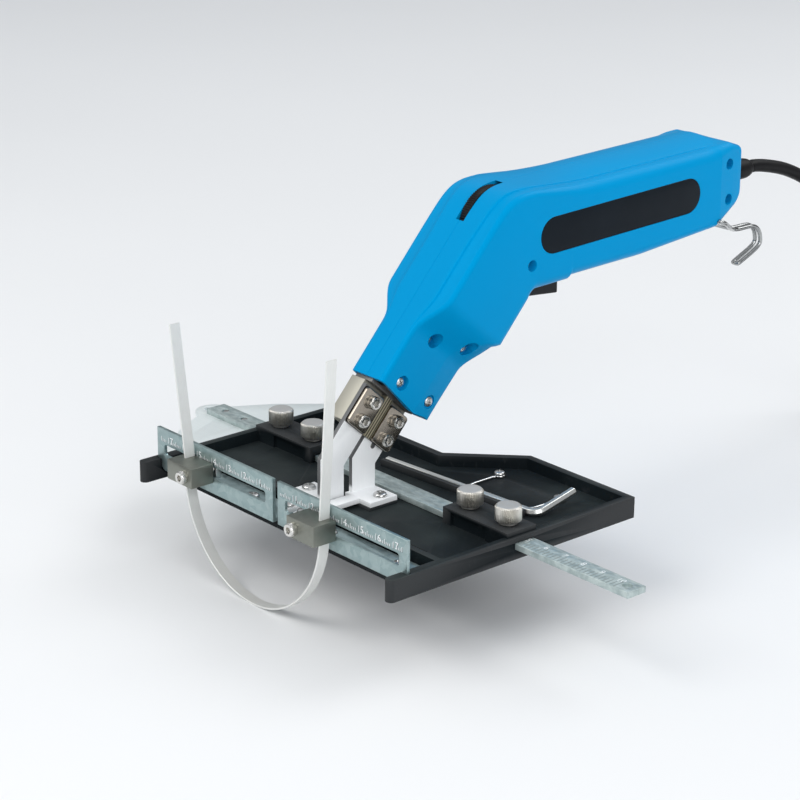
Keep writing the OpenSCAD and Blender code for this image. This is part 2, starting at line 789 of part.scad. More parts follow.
module nose_insulator() {
    rear = pivot_t - rear_depth(0);
    edge = shell_t + pin_gap;
    tongue_rear = terminal_rear + terminal_w / 2 + tongue_gap;
    tongue_front = terminal_front - terminal_w / 2 - tongue_gap;
    slot_rear = rear_strip_t + strip_w / 2 + tongue_gap;
    slot_front = front_strip_t - strip_w / 2 - tongue_gap;
    color([0.72, 0.6, 0.4])
    difference() {
        union() {
            nose_box(edge - nose_half_w, conductor_t / 2 + clamp_plate_t, terminal_rear - terminal_w / 2,
                     terminal_front + terminal_w / 2, terminal_top, 0);
            nose_box(edge - nose_half_w, conductor_t / 2 + clamp_plate_t, plug_corner + edge - rear,
                     nose_half - edge - plug_corner, terminal_top / 2, insulator_plug);
            nose_box(edge - nose_half_w, nose_half_w - edge, plug_corner + edge - rear,
                     nose_half - edge - plug_corner, plug_in, insulator_plug);
            nose_box(-conductor_t / 2 - terminal_t, -conductor_t / 2 - tongue_gap, tongue_rear, tongue_front,
                     terminal_base, terminal_top / 2);
            nose_box(-conductor_t, conductor_t, slot_rear, slot_front, terminal_base, terminal_top / 2);
            nose_box(conductor_t / 2 + tongue_gap, conductor_t / 2 + tongue_t, tongue_rear, tongue_front,
                     terminal_base, terminal_top / 2);
        }
        for (mid_t = [front_busbar_t, rear_busbar_t])
            busbar_box(mid_t, seat_gap, terminal_top - over, insulator_plug + over);
    }
}
module front_busbar() {
    color([0.78, 0.5, 0.3]) busbar_box(front_busbar_t, 0, terminal_top, core_base);
}
module rear_busbar() {
    color([0.78, 0.5, 0.3]) busbar_box(rear_busbar_t, 0, terminal_top, core_base);
}

// Transformer
core_base = 40;
core_len = 25;
core_front = 13;
core_rear = -15;
core_half = 7;
core_limb = 5;
coil_half = 13;
coil_wall = 3;
module transformer_core() {
    mid = (core_front + core_rear) / 2;
    color([0.3, 0.3, 0.32])
    difference() {
        nose_box(-core_half, core_half, core_rear, core_front, core_base, core_base + core_len);
        for (side = [-1, 1])
            nose_box(-core_half - over, core_half + over,
                     side > 0 ? mid + core_limb : core_rear + core_limb,
                     side > 0 ? core_front - core_limb : mid - core_limb,
                     core_base + core_limb, core_base + core_len - core_limb);
    }
}
module transformer_coil() {
    mid = (core_front + core_rear) / 2;
    color([0.62, 0.3, 0.16])
    difference() {
        nose_box(-coil_half, coil_half, mid - core_limb - coil_wall, mid + core_limb + coil_wall,
                 core_base + core_limb + seat_gap, core_base + core_len - core_limb - seat_gap);
        nose_box(-core_half - seat_gap, core_half + seat_gap,
                 mid - core_limb - seat_gap, mid + core_limb + seat_gap, core_base, core_base + core_len);
    }
}

// Body shells: each half is lofted through sections that hang on the pivot of the bend
pivot_s = 64.5;
pivot_t = 29.4;
pivot = nose_at(pivot_s, -pivot_t);
nose_front = nose_half + pivot_t;
nose_way = nose_tilt + 90;
grip_way = grip_tilt + 90;
grip_dir = [cos(grip_tilt), sin(grip_tilt)];
grip_up = [-sin(grip_tilt), cos(grip_tilt)];
// Place on the grip: along it from the pivot, and square to it
function grip_at(u, rise) = pivot + u * grip_dir + rise * grip_up;
grip_top = 51;
grip_low = 8.3;
// The underside rises over the rear part of the grip
low_run = 64;
low_rise = 3.5;
bend_steps = 8;
// Rear end: the sides draw in, a flat slope cuts the crown, a chamfer lifts the underside
grip_end_w = 17.2;
taper_len = 15.5;
taper_u = grip_len - taper_len;
slope_len = 14;
fall_u = grip_len - slope_len;
rear_fall = 5.5;
chamfer_len = 16;
chamfer_u = grip_len - chamfer_len;
chamfer_rise = 7.2;
rear_low_r = 3.6;
rear_blend = 22;
rear_blend_u = grip_len - rear_blend;
// Ledge below the grip, behind the trigger
ledge_drop = 1.4;
ledge_u = 19;
ledge_run = 1.5;
guard_s = 38.5;
guard_end = 42;
waist_s = 24;
waist_end = 42;
spine_step = 0.8;
spine_nose = 8.2;
spine_waist = 11.5;
spine_grip = 13.5;
crown_grip = 3.4;
// Fall of the crown half way to the spine's edge, and at it
crown_shares = [0.22, 0.8];
shoulder_nose = 2.2;
shoulder_grip = 5.5;
shoulder_end = 2.4;
low_edge = 5;
low_edge_share = 0.8;
edge_angles = [0, 30, 60, 90];
rear_start = 3.2;
rear_swell = 1.5;
function ramp(x, x0, x1) = let (k = min(1, max(0, (x - x0) / (x1 - x0)))) k * k * (3 - 2 * k);
function mix(a, b, k) = a + (b - a) * k;
function past(u, u0) = max(0, u - u0) / (grip_len - u0);
function rear_depth(s) = pivot_t - (s < guard_s
    ? nose_half + rear_start + rear_swell * pow(max(0, s) / guard_s, 2)
    : mix(nose_half + rear_start + rear_swell, belly, ramp(s, guard_s, guard_end)));
function nose_width(s) = mix(nose_half_w, grip_half_w, ramp(s, waist_s, waist_end));
function nose_spine(s) = mix(spine_nose, spine_waist, ramp(s, waist_s, waist_end));
function grip_width(u) = mix(grip_half_w, grip_end_w, past(u, taper_u));
function bend_out(way) = let (
    n = 16,
    a = nose_front / cos(nose_way - way),
    b = grip_top / cos(way - grip_way)
) pow(pow(a, -n) + pow(b, -n), -1 / n);
function chamfer_at(u) = let (k = max(0, u - grip_len + rear_low_r) / rear_low_r)
    chamfer_rise * past(u, chamfer_u) + rear_low_r * (1 - sqrt(1 - k * k));
function ledge_at(u) = ledge_drop * (1 - ramp(u, ledge_u, ledge_u + ledge_run));
// A station: origin in Y and Z, angle of its upright, top, bottom, half width, spine, crown, shoulder
function nose_station(s) = [
    nose_at(s, -pivot_t), nose_way, nose_front, rear_depth(s),
    nose_width(s), nose_spine(s), 0, shoulder_nose
];
function bend_station(way) = let (k = (nose_way - way) / (nose_way - grip_way)) [
    pivot, way, bend_out(way), mix(rear_depth(pivot_s), grip_low - ledge_drop, k),
    grip_half_w, mix(spine_waist, spine_grip, k), crown_grip * k, mix(shoulder_nose, shoulder_grip, k)
];
function grip_station(u) = let (
    k = ramp(u, rear_blend_u, grip_len),
    fall = rear_fall * past(u, fall_u)
) [
    pivot + u * grip_dir, grip_way,
    grip_top - fall, grip_low + low_rise * past(u, grip_len - low_run) + chamfer_at(u) - ledge_at(u),
    grip_width(u), spine_grip, max(0, crown_grip - fall / crown_shares[1]),
    mix(shoulder_grip, shoulder_end, k)
];
nose_shares = [0, 0.1, 0.2, 0.31, 0.4, 0.44, 0.48, 0.52, 0.56, 0.6, 0.635, 0.67, 0.78, 0.9];
grip_shares = [0.3, 0.46, 0.62, 0.78, 0.9, 1];
rear_shares = [0.24, 0.36, 0.5, 0.62, 0.72, 0.78, 0.82];
wall_shares = [0.5, 0.8];
stations = concat(
    [for (k = nose_shares) nose_station(pivot_s * k)],
    [for (k = [0 : bend_steps - 1]) bend_station(nose_way + (grip_way - nose_way) * k / bend_steps)],
    [for (u = [0, ledge_u, ledge_u + ledge_run]) grip_station(u)],
    [for (k = grip_shares) grip_station(chamfer_u * k)],
    [grip_station(taper_u)],
    [grip_station(fall_u)],
    [for (k = rear_shares) grip_station(mix(chamfer_u, grip_len, k))],
    [grip_station(grip_len - shell_t)]
);
// Half of a section, from the seam on top round to the seam below
function half_section(top, low, w, spine, crown, drop) = let (
    knee = min(drop, w - spine / 2),
    side = max(spine, w - knee),
    edge = min(low_edge, w * low_edge_share)
) concat(
    [[0, top], [spine / 2, top - crown * crown_shares[0]], [spine, top - crown * crown_shares[1]]],
    [for (a = edge_angles) [
        side + (w - side) * sin(a),
        top - spine_step - crown * crown_shares[1] - drop * (1 - cos(a))
    ]],
    [for (a = edge_angles) [w - edge * (1 - cos(a)), low + edge * (1 - sin(a))]],
    [[0, low]]
);
function place(st, p) = [
    p[0],
    st[0][0] + p[1] * cos(st[1]),
    st[0][1] + p[1] * sin(st[1])
];
// Outline of a station, drawn in by some wall
function ring(st, wall) = [
    for (p = half_section(st[2] - wall, st[3] + wall, st[4] - wall, st[5] - wall / 2, st[6], st[7]))
        place(st, p)
];
// The same number of points down the seam, which closes the rear wall
function seam_ring(st) = let (n = len(ring(st, shell_t))) [
    for (i = [0 : n - 1])
        place(st, [0, mix(st[2] - shell_t, st[3] + shell_t, i / (n - 1))])
];
wall_step = 0.02;
wall_stations = concat(
    [grip_station(grip_len - shell_t + wall_step)],
    [for (k = wall_shares) grip_station(grip_len - shell_t + shell_t * k)],
    [grip_station(grip_len)]
);
// Skin between outer rings and inner rings, closed at both ends
module half_loft(outer, inner) {
    k = len(outer[0]);
    n = len(outer);
    points = [for (i = [0 : n - 1]) each concat(outer[i], inner[i])];
    skin = [
        for (i = [0 : n - 2])
            for (j = [0 : 2 * k - 1])
                let (
                    a = i * 2 * k + (j < k ? j : 3 * k - 1 - j),
                    b = i * 2 * k + (j + 1 < k ? j + 1 : j + 1 < 2 * k ? 3 * k - 2 - j : 0)
                )
                    each [[a, a + 2 * k, b], [b, a + 2 * k, b + 2 * k]]
    ];
    front = [for (j = [0 : k - 2]) each [[j, j + 1, j + k], [j + 1, j + k + 1, j + k]]];
    // The rear cap is cut the other way below, where a row runs along the seam
    rear = [
        for (j = [0 : k - 2])
            let (f = (n - 1) * 2 * k + j)
                each j < k / 2
                    ? [[f, f + k, f + 1], [f + 1, f + k, f + k + 1]]
                    : [[f, f + k, f + k + 1], [f, f + k + 1, f + 1]]
    ];
    polyhedron(points, concat(skin, front, rear));
}
all_stations = concat(stations, wall_stations);
module half_shell() {
    half_loft(
        [for (st = all_stations) ring(st, 0)],
        concat([for (st = stations) ring(st, shell_t)], [for (st = wall_stations) seam_ring(st)])
    );
}
// Inside of the shell, out to the middle of its wall
module half_room() {
    half_loft([for (st = stations) ring(st, shell_t / 2)], [for (st = stations) seam_ring(st)]);
}
// Shell screws: place in Y and Z, half width of the body there, depth of the head, boss, hole
boss_d = 8.4;
low_boss_d = 6.4;
left_boss_d = 5;
sink_d = 6.2;
small_sink_d = 4.8;
screw_sink = 1;
deep_sink = 3.6;
low_screws = [[4.6, 5.9], [6, -13.6]];
high_screws = [[26.6, 3.2], [32.5, -12.6]];
bend_screw = [-4, 18.4];
rear_screw_back = 9.3;
rear_screw_rise = [39.2, 23.1];
shell_places = concat(
    [for (p = low_screws) [nose_at(p[0], p[1]), nose_half_w, screw_sink, low_boss_d, sink_d]],
    [for (p = high_screws) [nose_at(p[0], p[1]), nose_width(p[0]), deep_sink, boss_d, sink_d]],
    [[pivot + bend_screw, grip_half_w, deep_sink, boss_d, small_sink_d]],
    [for (rise = rear_screw_rise) let (u = grip_len - rear_screw_back)
        [grip_at(u, rise), grip_width(u), deep_sink, boss_d, small_sink_d]]
);
module along_x(place, x) {
    translate([x, place[0], place[1]]) rotate([0, 90, 0]) children();
}
screw_head_t = shell_screw_d * pan_height_share;
// Underside of a shell screw's head
function head_x(p) = p[1] - p[2] - screw_head_t;
module shell_screws() {
    color([0.7, 0.7, 0.72])
    for (p = shell_places)
        along_x(p[0], head_x(p)) pan_screw(shell_screw_d, head_x(p) - screw_tip(p[1]));
}
// The screws end short of the left shell's outside
screw_reach = 3.5;
function screw_tip(half) = screw_reach - half;
wheel_s = 83;
wheel_t = 1.4;
wheel_at = nose_at(wheel_s, wheel_t);
wheel_room = 1.6;
// Trigger and switch, from the pivot of the bend
trigger_lead = 0.8;
trigger_y0 = pivot[0] + trigger_lead;
trigger_len = 23.2;
trigger_y1 = trigger_y0 + trigger_len;
// Its lip rests on the floor of the grip at the rear end
trigger_lip = pivot[1] + grip_low + shell_t + (trigger_lead + trigger_len) * sin(grip_tilt) + run_gap;
trigger_lip_t = 2;
trigger_nose_z = pivot[1];
trigger_heel_drop = 1.6;
trigger_heel_z = pivot[1] - trigger_heel_drop;
switch_back = 6;
switch_y0 = pivot[0] + switch_back;
switch_gap = 11.5;
switch_z = trigger_lip + switch_gap;
switch_h = 12;
switch_half = 8;
post_d = 4;
// Strain relief and hook, from the rear end of the grip
relief_rise = 28.56;
relief_at = grip_at(grip_len, relief_rise);
relief_y = relief_at[0];
relief_z = relief_at[1];
relief_d = 10;
relief_len = 24.8;
relief_end = relief_y + relief_len;
relief_round = 4;
relief_shoulder_d = 9.2;
relief_tip_d = 6.8;
relief_collar = 13;
relief_collar_t = 1.8;
relief_neck_d = 8;
relief_collar_y = relief_y - shell_t - relief_collar_t - pin_gap;
hook_back = 15.95;
hook_rise = 14.4;
hook_at = grip_at(grip_len - hook_back, hook_rise);
core_posts = [[62.8, -12.8], [62.8, 4], [42.3, -12.8]];
board_x = -12.6;
board_t = 1.6;
board_lead = 18;
board_y0 = pivot[0] - board_lead;
board_rise = 24.5;
board_z0 = pivot[1] + board_rise;
board_len = 16;
board_h = 14.5;
board_posts = [[-15, 28], [-5, 36]];
switch_posts = [[9, 31.5], [23, 31.5]];
module shell_posts(right) {
    for (p = shell_places) along_x(p[0], 0) cylinder(d = right ? p[3] : left_boss_d, h = p[1]);
    for (p = core_posts) nose_rod(core_half + seat_gap, grip_half_w, p[1], p[0], post_d);
    for (p = switch_posts)
        along_x(pivot + p, switch_half + seat_gap) cylinder(d = post_d, h = grip_half_w - switch_half);
    if (!right)
        for (p = board_posts)
            along_x(pivot + p, -board_x) cylinder(d = post_d, h = grip_half_w + board_x);
}
module shell_common(right) {
    difference() {
        union() {
            half_shell();
            intersection() {
                half_room();
                shell_posts(right);
            }
        }
        along_x(wheel_at, -over)
            cylinder(d = wheel_d + 2 * wheel_room, h = wheel_w / 2 + over + run_gap);
        translate([-over, trigger_y0 - run_gap, trigger_heel_z])
            cube([trigger_half_w + run_gap + over, trigger_len + 2 * run_gap, trigger_lip - trigger_heel_z]);
        along_x(hook_at, hook_pin_in - over)
            cylinder(d = hook_d + pin_gap, h = hook_out - hook_pin_in + over);
        translate([0, relief_y - shell_t - 2 * over, relief_z]) rotate([-90, 0, 0])
            cylinder(d = relief_neck_d + pin_gap, h = shell_t + 4 * over);
    }
}
module body_shell_right() {
    color([0, 0.33, 0.68])
    difference() {
        shell_common(true);
        for (p = shell_places) {
            along_x(p[0], -over) cylinder(d = shell_screw_d + pin_gap, h = p[1] + over);
            along_x(p[0], head_x(p)) cylinder(d = p[4], h = p[2] + screw_head_t + over);
        }
        label_shape(grip_half_w - label_sink, label_sink + over, seat_gap);
    }
}
module body_shell_left() {
    color([0, 0.33, 0.68])
    difference() {
        mirror([1, 0, 0]) shell_common(false);
        for (p = shell_places)
            along_x(p[0], screw_tip(p[1]) - seat_gap) cylinder(d = shell_screw_d + seat_gap, h = p[1]);
    }
}

// Label plate: bare, let into the right side
label_sink = 0.6;
label_t = 0.8;
label_back = 49.6;
label_rise = 29.6;
label_at = grip_at(label_back, label_rise);
label_turn = 0.5;
label_tilt = grip_tilt + label_turn;
module label_shape(x, thick, grow) {
    half = (label_len - label_h) / 2;
    plate_yz(x, thick) translate(label_at) rotate(label_tilt)
        slot_2d(-half, half, label_h + 2 * grow);
}
module label_plate() {
    color([0.12, 0.12, 0.13]) label_shape(grip_half_w - label_sink, label_t, 0);
}

// Regulator
axle_d = 4;
pot_half = 6;
pot_gap = 1;
module regulator_wheel() {
    color([0.1, 0.1, 0.1])
    difference() {
        along_x(wheel_at, -wheel_w / 2) cylinder(d = wheel_d, h = wheel_w, $fn = 96);
        along_x(wheel_at, -wheel_w / 2 - over) cylinder(d = axle_d + pin_gap, h = wheel_w + 2 * over);
    }
}
module regulator_pot() {
    color([0.2, 0.3, 0.22]) {
        translate([board_x + board_t, wheel_at[0] - pot_half, wheel_at[1] - pot_half])
            cube([-board_x - board_t - wheel_w / 2 - pot_gap, 2 * pot_half, 2 * pot_half]);
        along_x(wheel_at, -wheel_w / 2 - pot_gap - over)
            cylinder(d = axle_d, h = wheel_w + pot_gap + 2 * over);
    }
}
module circuit_board() {
    color([0.1, 0.35, 0.2])
    translate([board_x, board_y0, board_z0]) cube([board_t, board_len, board_h]);
}

// Trigger, its switch and its spring
trigger_lip_w = 2;
trigger_slope_share = 0.3;
switch_len = 20;
plunger_w = 3;
plunger_h = 4;
spring_r = 3;
spring_wire = 0.5;
spring_curls = 3;
spring_back = 16;
spring_y = pivot[0] + spring_back;
module trigger() {
    slope_y = mix(trigger_y0, trigger_y1, trigger_slope_share);
    color([0.05, 0.05, 0.05]) {
        plate_yz(-trigger_half_w, 2 * trigger_half_w) polygon([
            [trigger_y0, trigger_lip + trigger_lip_t],
            [trigger_y0, trigger_nose_z + trigger_lip_t],
            [slope_y, trigger_nose_z],
            [trigger_y1, trigger_heel_z],
            [trigger_y1, trigger_lip + trigger_lip_t]
        ]);
        translate([-trigger_half_w - trigger_lip_w, trigger_y0, trigger_lip])
            cube([2 * (trigger_half_w + trigger_lip_w), trigger_y1 - trigger_y0, trigger_lip_t]);
    }
}
module trigger_switch() {
    color([0.22, 0.22, 0.24]) {
        translate([-switch_half, switch_y0, switch_z]) cube([2 * switch_half, switch_len, switch_h]);
        translate([-plunger_w / 2, switch_y0 + plunger_w, switch_z - plunger_h])
            cube([plunger_w, plunger_w, plunger_h + over]);
    }
}
module trigger_spring() {
    base = trigger_lip + trigger_lip_t + spring_wire;
    rise = switch_z - base - spring_wire;
    color([0.8, 0.8, 0.82])
    tube([
        for (i = [0 : 8 * spring_curls])
            [spring_r * cos(45 * i), spring_y + spring_r * sin(45 * i), base + rise * i / (8 * spring_curls)]
    ], spring_wire, 6);
}

// Hanging hook: bent wire that grips the body, its ends turned into the side walls
hook_out = grip_half_w + hook_side_gap + hook_d / 2;
hook_pin_in = grip_half_w - shell_t - hook_d / 2;
hook_neck = 1.6;
hook_reach = 49.6;
hook_drop = 29.4;
// Bends of one leg: shares of the half width, the reach and the drop
hook_shares = [
    [1, 0, 0], [0.98, 0.05, 0.034], [0.83, 0.161, 0.122], [0.49, 0.343, 0.259], [0.15, 0.524, 0.381],
    [0.012, 0.635, 0.442], [0, 0.726, 0.455], [0, 0.875, 0.46], [0, 0.958, 0.53], [0, 1, 0.66],
    [0, 0.978, 0.816], [0, 0.738, 1]
];
hook_route = [
    for (k = hook_shares) [mix(hook_neck, hook_out, k[0]), hook_reach * k[1], -hook_drop * k[2]]
];
hook_last = len(hook_route) - 1;
module hanging_hook() {
    color([0.85, 0.86, 0.88])
    translate([0, hook_at[0], hook_at[1]]) {
        for (side = [-1, 1])
            translate([side > 0 ? hook_pin_in : -hook_out, 0, 0]) rotate([0, 90, 0])
                cylinder(d = hook_d, h = hook_out - hook_pin_in);
        tube(concat(
            hook_route,
            [hook_route[hook_last] + [-hook_neck, -hook_neck, -hook_neck / 2]],
            [for (i = [0 : hook_last]) let (p = hook_route[hook_last - i]) [-p[0], p[1], p[2]]]
        ), hook_d / 2, 8);
    }
}

// Strain relief: a sleeve with a collar inside the rear wall
module strain_relief() {
    neck_r = relief_neck_d / 2;
    start = relief_y + 2 * run_gap;
    color([0.04, 0.04, 0.04])
    translate([0, 0, relief_z]) rotate([-90, 0, 0]) rotate_extrude() polygon([
        [0, relief_collar_y],
        [relief_collar / 2, relief_collar_y],
        [relief_collar / 2, relief_collar_y + relief_collar_t],
        [neck_r, relief_collar_y + relief_collar_t],
        [neck_r, start],
        [relief_d / 2, start],
        [relief_shoulder_d / 2, relief_end - relief_round],
        [relief_tip_d / 2, relief_end],
        [0, relief_end]
    ]);
}

// Cord: it falls from the strain relief to the surface the blade reaches down to
rest_z = blade_mid_z - blade_r - blade_t / 2;
tie_t = 1;
coil_z = rest_z + tie_t + cord_d / 2;
// Way from the strain relief out to the coil
cord_reach = 124;
coil_y = relief_end + cord_reach + cord_d;
coil_step = 7.5;
// The cord runs clear of the coil before the plug
plug_tail = 44;
cord_out_shares = [
    0, 0.037, 0.111, 0.206, 0.302, 0.391, 0.476, 0.544, 0.597,
    0.631, 0.652, 0.666, 0.694, 0.75, 0.835, 0.927, 1
];
cord_fall_shares = [
    0, 0, 0.0125, 0.037, 0.0755, 0.124, 0.19, 0.272, 0.37,
    0.4776, 0.5925, 0.711, 0.8224, 0.915, 0.977, 1, 1
];
cord_route = [
    for (i = [0 : len(cord_out_shares) - 1])
        [0, relief_end + cord_reach * cord_out_shares[i], mix(relief_z, coil_z, cord_fall_shares[i])]
];
function run_length(p, i = 0) = i >= len(p) - 1 ? 0 : norm(p[i + 1] - p[i]) + run_length(p, i + 1);
lead_len = run_length(cord_route);
coil_loops = 2 * coil_turns + 0.5;
coil_mean = (cord_len - lead_len - cord_d - plug_tail) / (2 * PI * coil_loops);
// The half turn that climbs stays on the inner radius
coil_out = coil_mean + coil_step * coil_turns * (coil_turns + 0.5) / coil_loops;
coil_in = coil_out - coil_step * coil_turns;
loop_rings = 24;
function coil_radius(turn) = turn < coil_turns
    ? coil_out - coil_step * turn
    : turn < coil_turns + 0.5 ? coil_in : coil_in + coil_step * (turn - coil_turns - 0.5);
function coil_height(turn) = coil_z + coil_step * ramp(turn, coil_turns, coil_turns + 0.5);
function coil_point(turn) = [
    coil_out - coil_radius(turn) * cos(360 * turn),
    coil_y + coil_radius(turn) * sin(360 * turn),
    coil_height(turn)
];
plug_y = coil_y - plug_tail;
coil_route = concat(
    [[0, coil_y - cord_d, coil_z]],
    [for (i = [0 : loop_rings * coil_loops]) coil_point(i / loop_rings)],
    [[2 * coil_out, plug_y, coil_z + coil_step]]
);
least_gap = min([
    for (i = [0 : len(coil_route) - 1])
        for (j = [i + loop_rings / 2 : 1 : len(coil_route) - 1])
            norm(coil_route[i] - coil_route[j])
]) - cord_d;
echo(least_gap_in_coil = least_gap, cord_run = lead_len + run_length(coil_route));
module cord_lead() {
    color([0.05, 0.05, 0.05]) tube(cord_route, cord_d / 2, 10);
}
module cord_coil() {
    color([0.05, 0.05, 0.05]) tube(coil_route, cord_d / 2, 6);
}
tie_w = 12;
module coil_tie() {
    inner_x = sqrt(coil_in * coil_in - tie_w * tie_w / 4) - cord_d / 2 - slide_gap;
    outer_x = coil_out + cord_d / 2 + slide_gap;
    color([0.1, 0.1, 0.1])
    difference() {
        translate([coil_out - tie_w / 2, coil_y + inner_x - tie_t, rest_z])
            cube([tie_w, outer_x - inner_x + 2 * tie_t, coil_step + cord_d + 2 * tie_t + slide_gap]);
        translate([coil_out - tie_w / 2 - over, coil_y + inner_x, rest_z + tie_t - slide_gap / 2])
            cube([tie_w + 2 * over, outer_x - inner_x, coil_step + cord_d + slide_gap]);
    }
}
plug_z = coil_z + coil_step;
plug_h = 2 * (plug_z - rest_z);
plug_side = 4;
plug_neck = 10;
plug_neck_d = 12;
plug_neck_grow = 2;
plug_len = 36;
pin_d = 4.8;
pin_len = 19;
pin_half = 9.5;
module at_plug() {
    translate([2 * coil_out, plug_y, plug_z]) rotate([90, 0, 0]) children();
}
module plug_body() {
    color([0.05, 0.05, 0.05])
    at_plug() difference() {
        union() {
            cylinder(d1 = cord_d + plug_neck_grow, d2 = plug_neck_d, h = plug_neck);
            translate([0, 0, plug_neck]) linear_extrude(plug_len) slot_2d(-plug_side, plug_side, plug_h);
        }
        for (side = [-1, 1])
            translate([side * pin_half, 0, plug_neck + plug_len / 2])
                cylinder(d = pin_d + seat_gap, h = plug_len);
    }
}
module plug_pins() {
    color([0.75, 0.75, 0.77])
    at_plug() for (side = [-1, 1])
        translate([side * pin_half, 0, plug_neck + plug_len / 2])
            cylinder(d = pin_d, h = plug_len / 2 + pin_len);
}

sled_tray();
bracket_left();
bracket_right();
bracket_screws();
clamp_block_left();
clamp_block_right();
clamp_screws();
clamp_nuts();
ribbon_blade();
guide_bar();
wing_plate();
wing_rivets();
thumb_screw_1();
thumb_screw_2();
thumb_screw_3();
thumb_screw_4();
hex_key();
key_clip();
key_clip_screws();
front_conductor();
rear_conductor();
conductor_screws();
front_terminal();
rear_terminal();
front_clamp_plate();
rear_clamp_plate();
terminal_screws();
nose_insulator();
front_busbar();
rear_busbar();
transformer_core();
transformer_coil();
body_shell_right();
body_shell_left();
shell_screws();
label_plate();
regulator_wheel();
regulator_pot();
circuit_board();
trigger();
trigger_switch();
trigger_spring();
hanging_hook();
strain_relief();
cord_lead();
cord_coil();
coil_tie();
plug_body();
plug_pins();
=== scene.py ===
import math

import bmesh
import bpy
from mathutils import Matrix, Vector


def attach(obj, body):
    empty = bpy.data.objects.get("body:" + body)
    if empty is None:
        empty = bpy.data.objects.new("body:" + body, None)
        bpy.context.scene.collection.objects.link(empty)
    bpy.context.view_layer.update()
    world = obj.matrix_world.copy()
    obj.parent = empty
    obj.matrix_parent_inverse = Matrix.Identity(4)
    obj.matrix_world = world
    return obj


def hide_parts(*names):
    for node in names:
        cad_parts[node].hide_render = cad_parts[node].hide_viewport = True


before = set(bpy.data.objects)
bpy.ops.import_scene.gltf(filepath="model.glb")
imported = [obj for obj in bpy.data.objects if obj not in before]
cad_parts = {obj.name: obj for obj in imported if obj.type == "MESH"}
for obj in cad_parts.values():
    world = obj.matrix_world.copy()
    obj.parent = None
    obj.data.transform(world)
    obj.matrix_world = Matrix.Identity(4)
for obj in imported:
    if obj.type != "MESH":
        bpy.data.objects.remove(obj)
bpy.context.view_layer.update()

# Stage: a pale floor at the height that the blade and the cord reach down to,
# soft light from above on the left, and the camera in front on the right.
# Sizes in this file are millimetres, and meshes are scaled to metres when they are made.
mm = 0.001
rest_z = -32.95
camera_place = (0.6873, -0.5414, 0.3699)
azimuth, elevation, roll = 48.72, 19.77, 0.55


def put(name, data):
    made = bpy.data.objects.new(name, data)
    bpy.context.scene.collection.objects.link(made)
    return made


def view_axes(azimuth, elevation, roll):
    a, e, r = (math.radians(v) for v in (azimuth, elevation, roll))
    back = Vector((math.sin(a) * math.cos(e), -math.cos(a) * math.cos(e), math.sin(e)))
    level = Vector((math.cos(a), math.sin(a), 0))
    up = back.cross(level)
    return (level * math.cos(r) + up * math.sin(r), up * math.cos(r) - level * math.sin(r), back)


camera = put("camera", bpy.data.cameras.new("camera"))
camera.data.lens = 106.65
camera.data.sensor_width = 36.0
camera.data.clip_end = 20.0
camera.matrix_world = Matrix.Translation(camera_place) @ Matrix(
    view_axes(azimuth, elevation, roll)
).transposed().to_4x4()
bpy.context.scene.camera = camera
bpy.context.scene.view_settings.view_transform = "Standard"


class Shade:
    """One value in a shader. Sums and products of these add Math nodes."""

    def __init__(self, tree, socket):
        self.tree, self.socket = tree, socket

    def node(self, kind, settings=None, inputs=None, output=0):
        made = self.tree.nodes.new("ShaderNode" + kind)
        for name, value in (settings or {}).items():
            setattr(made, name, value)
        for name, value in (inputs or {}).items():
            if isinstance(value, Shade):
                self.tree.links.new(value.socket, made.inputs[name])
            else:
                made.inputs[name].default_value = value
        return Shade(self.tree, made.outputs[output])

    def math(self, operation, a, b=0.0):
        return self.node("Math", {"operation": operation}, {0: a, 1: b})

    def __add__(self, other):
        return self.math("ADD", self, other)

    def __sub__(self, other):
        return self.math("SUBTRACT", self, other)

    def __rsub__(self, other):
        return self.math("SUBTRACT", other, self)

    def __mul__(self, other):
        return self.math("MULTIPLY", self, other)

    __radd__ = __add__
    __rmul__ = __mul__

    def axis(self, k):
        return self.node("SeparateXYZ", None, {0: self}, k)

    def dot(self, way):
        return self.node("VectorMath", {"operation": "DOT_PRODUCT"}, {0: self, 1: way}, 1)

    def facing(self, k):
        """How far the surface faces along X, Y or Z."""
        return self.node("TexCoord", None, None, "Normal").axis(k)

    def noise(self, scale, detail=2.0, rough=0.5):
        return self.node("TexNoise", None, {
            "Vector": self, "Scale": scale, "Detail": detail, "Roughness": rough})

    def stretched(self, x, y, z):
        return self.node("Mapping", None, {"Vector": self, "Scale": (x, y, z)})

    def band(self, low, high):
        """0 below low, 1 above high."""
        return self.node("MapRange", {"interpolation_type": "SMOOTHSTEP"}, {0: self, 1: low, 2: high})

    def between(self, dark, pale):
        """A colour from dark at 0 to pale at 1."""
        return self.node("Mix", {"data_type": "RGBA"}, {0: self, 6: (*dark, 1), 7: (*pale, 1)}, 2)

    def over(self, under, colour):
        """This much of a colour laid over another."""
        colour = colour if isinstance(colour, Shade) else (*colour, 1)
        return self.node("Mix", {"data_type": "RGBA"}, {0: self, 6: under, 7: colour}, 2)


def new_finish(name):
    finish = bpy.data.materials.new(name)
    finish.use_nodes = True
    tree = finish.node_tree
    return finish, Shade(tree, tree.nodes.new("ShaderNodeTexCoord").outputs["Object"])


def set_finish(finish, sockets, bump=None):
    tree = finish.node_tree
    shader = tree.nodes["Principled BSDF"]
    if bump:
        height, strength, depth = bump
        sockets = dict(sockets, Normal=height.node(
            "Bump", None, {"Height": height, "Strength": strength, "Distance": depth}))
    for name, value in sockets.items():
        if isinstance(value, Shade):
            tree.links.new(value.socket, shader.inputs[name])
        else:
            shader.inputs[name].default_value = value
    return finish


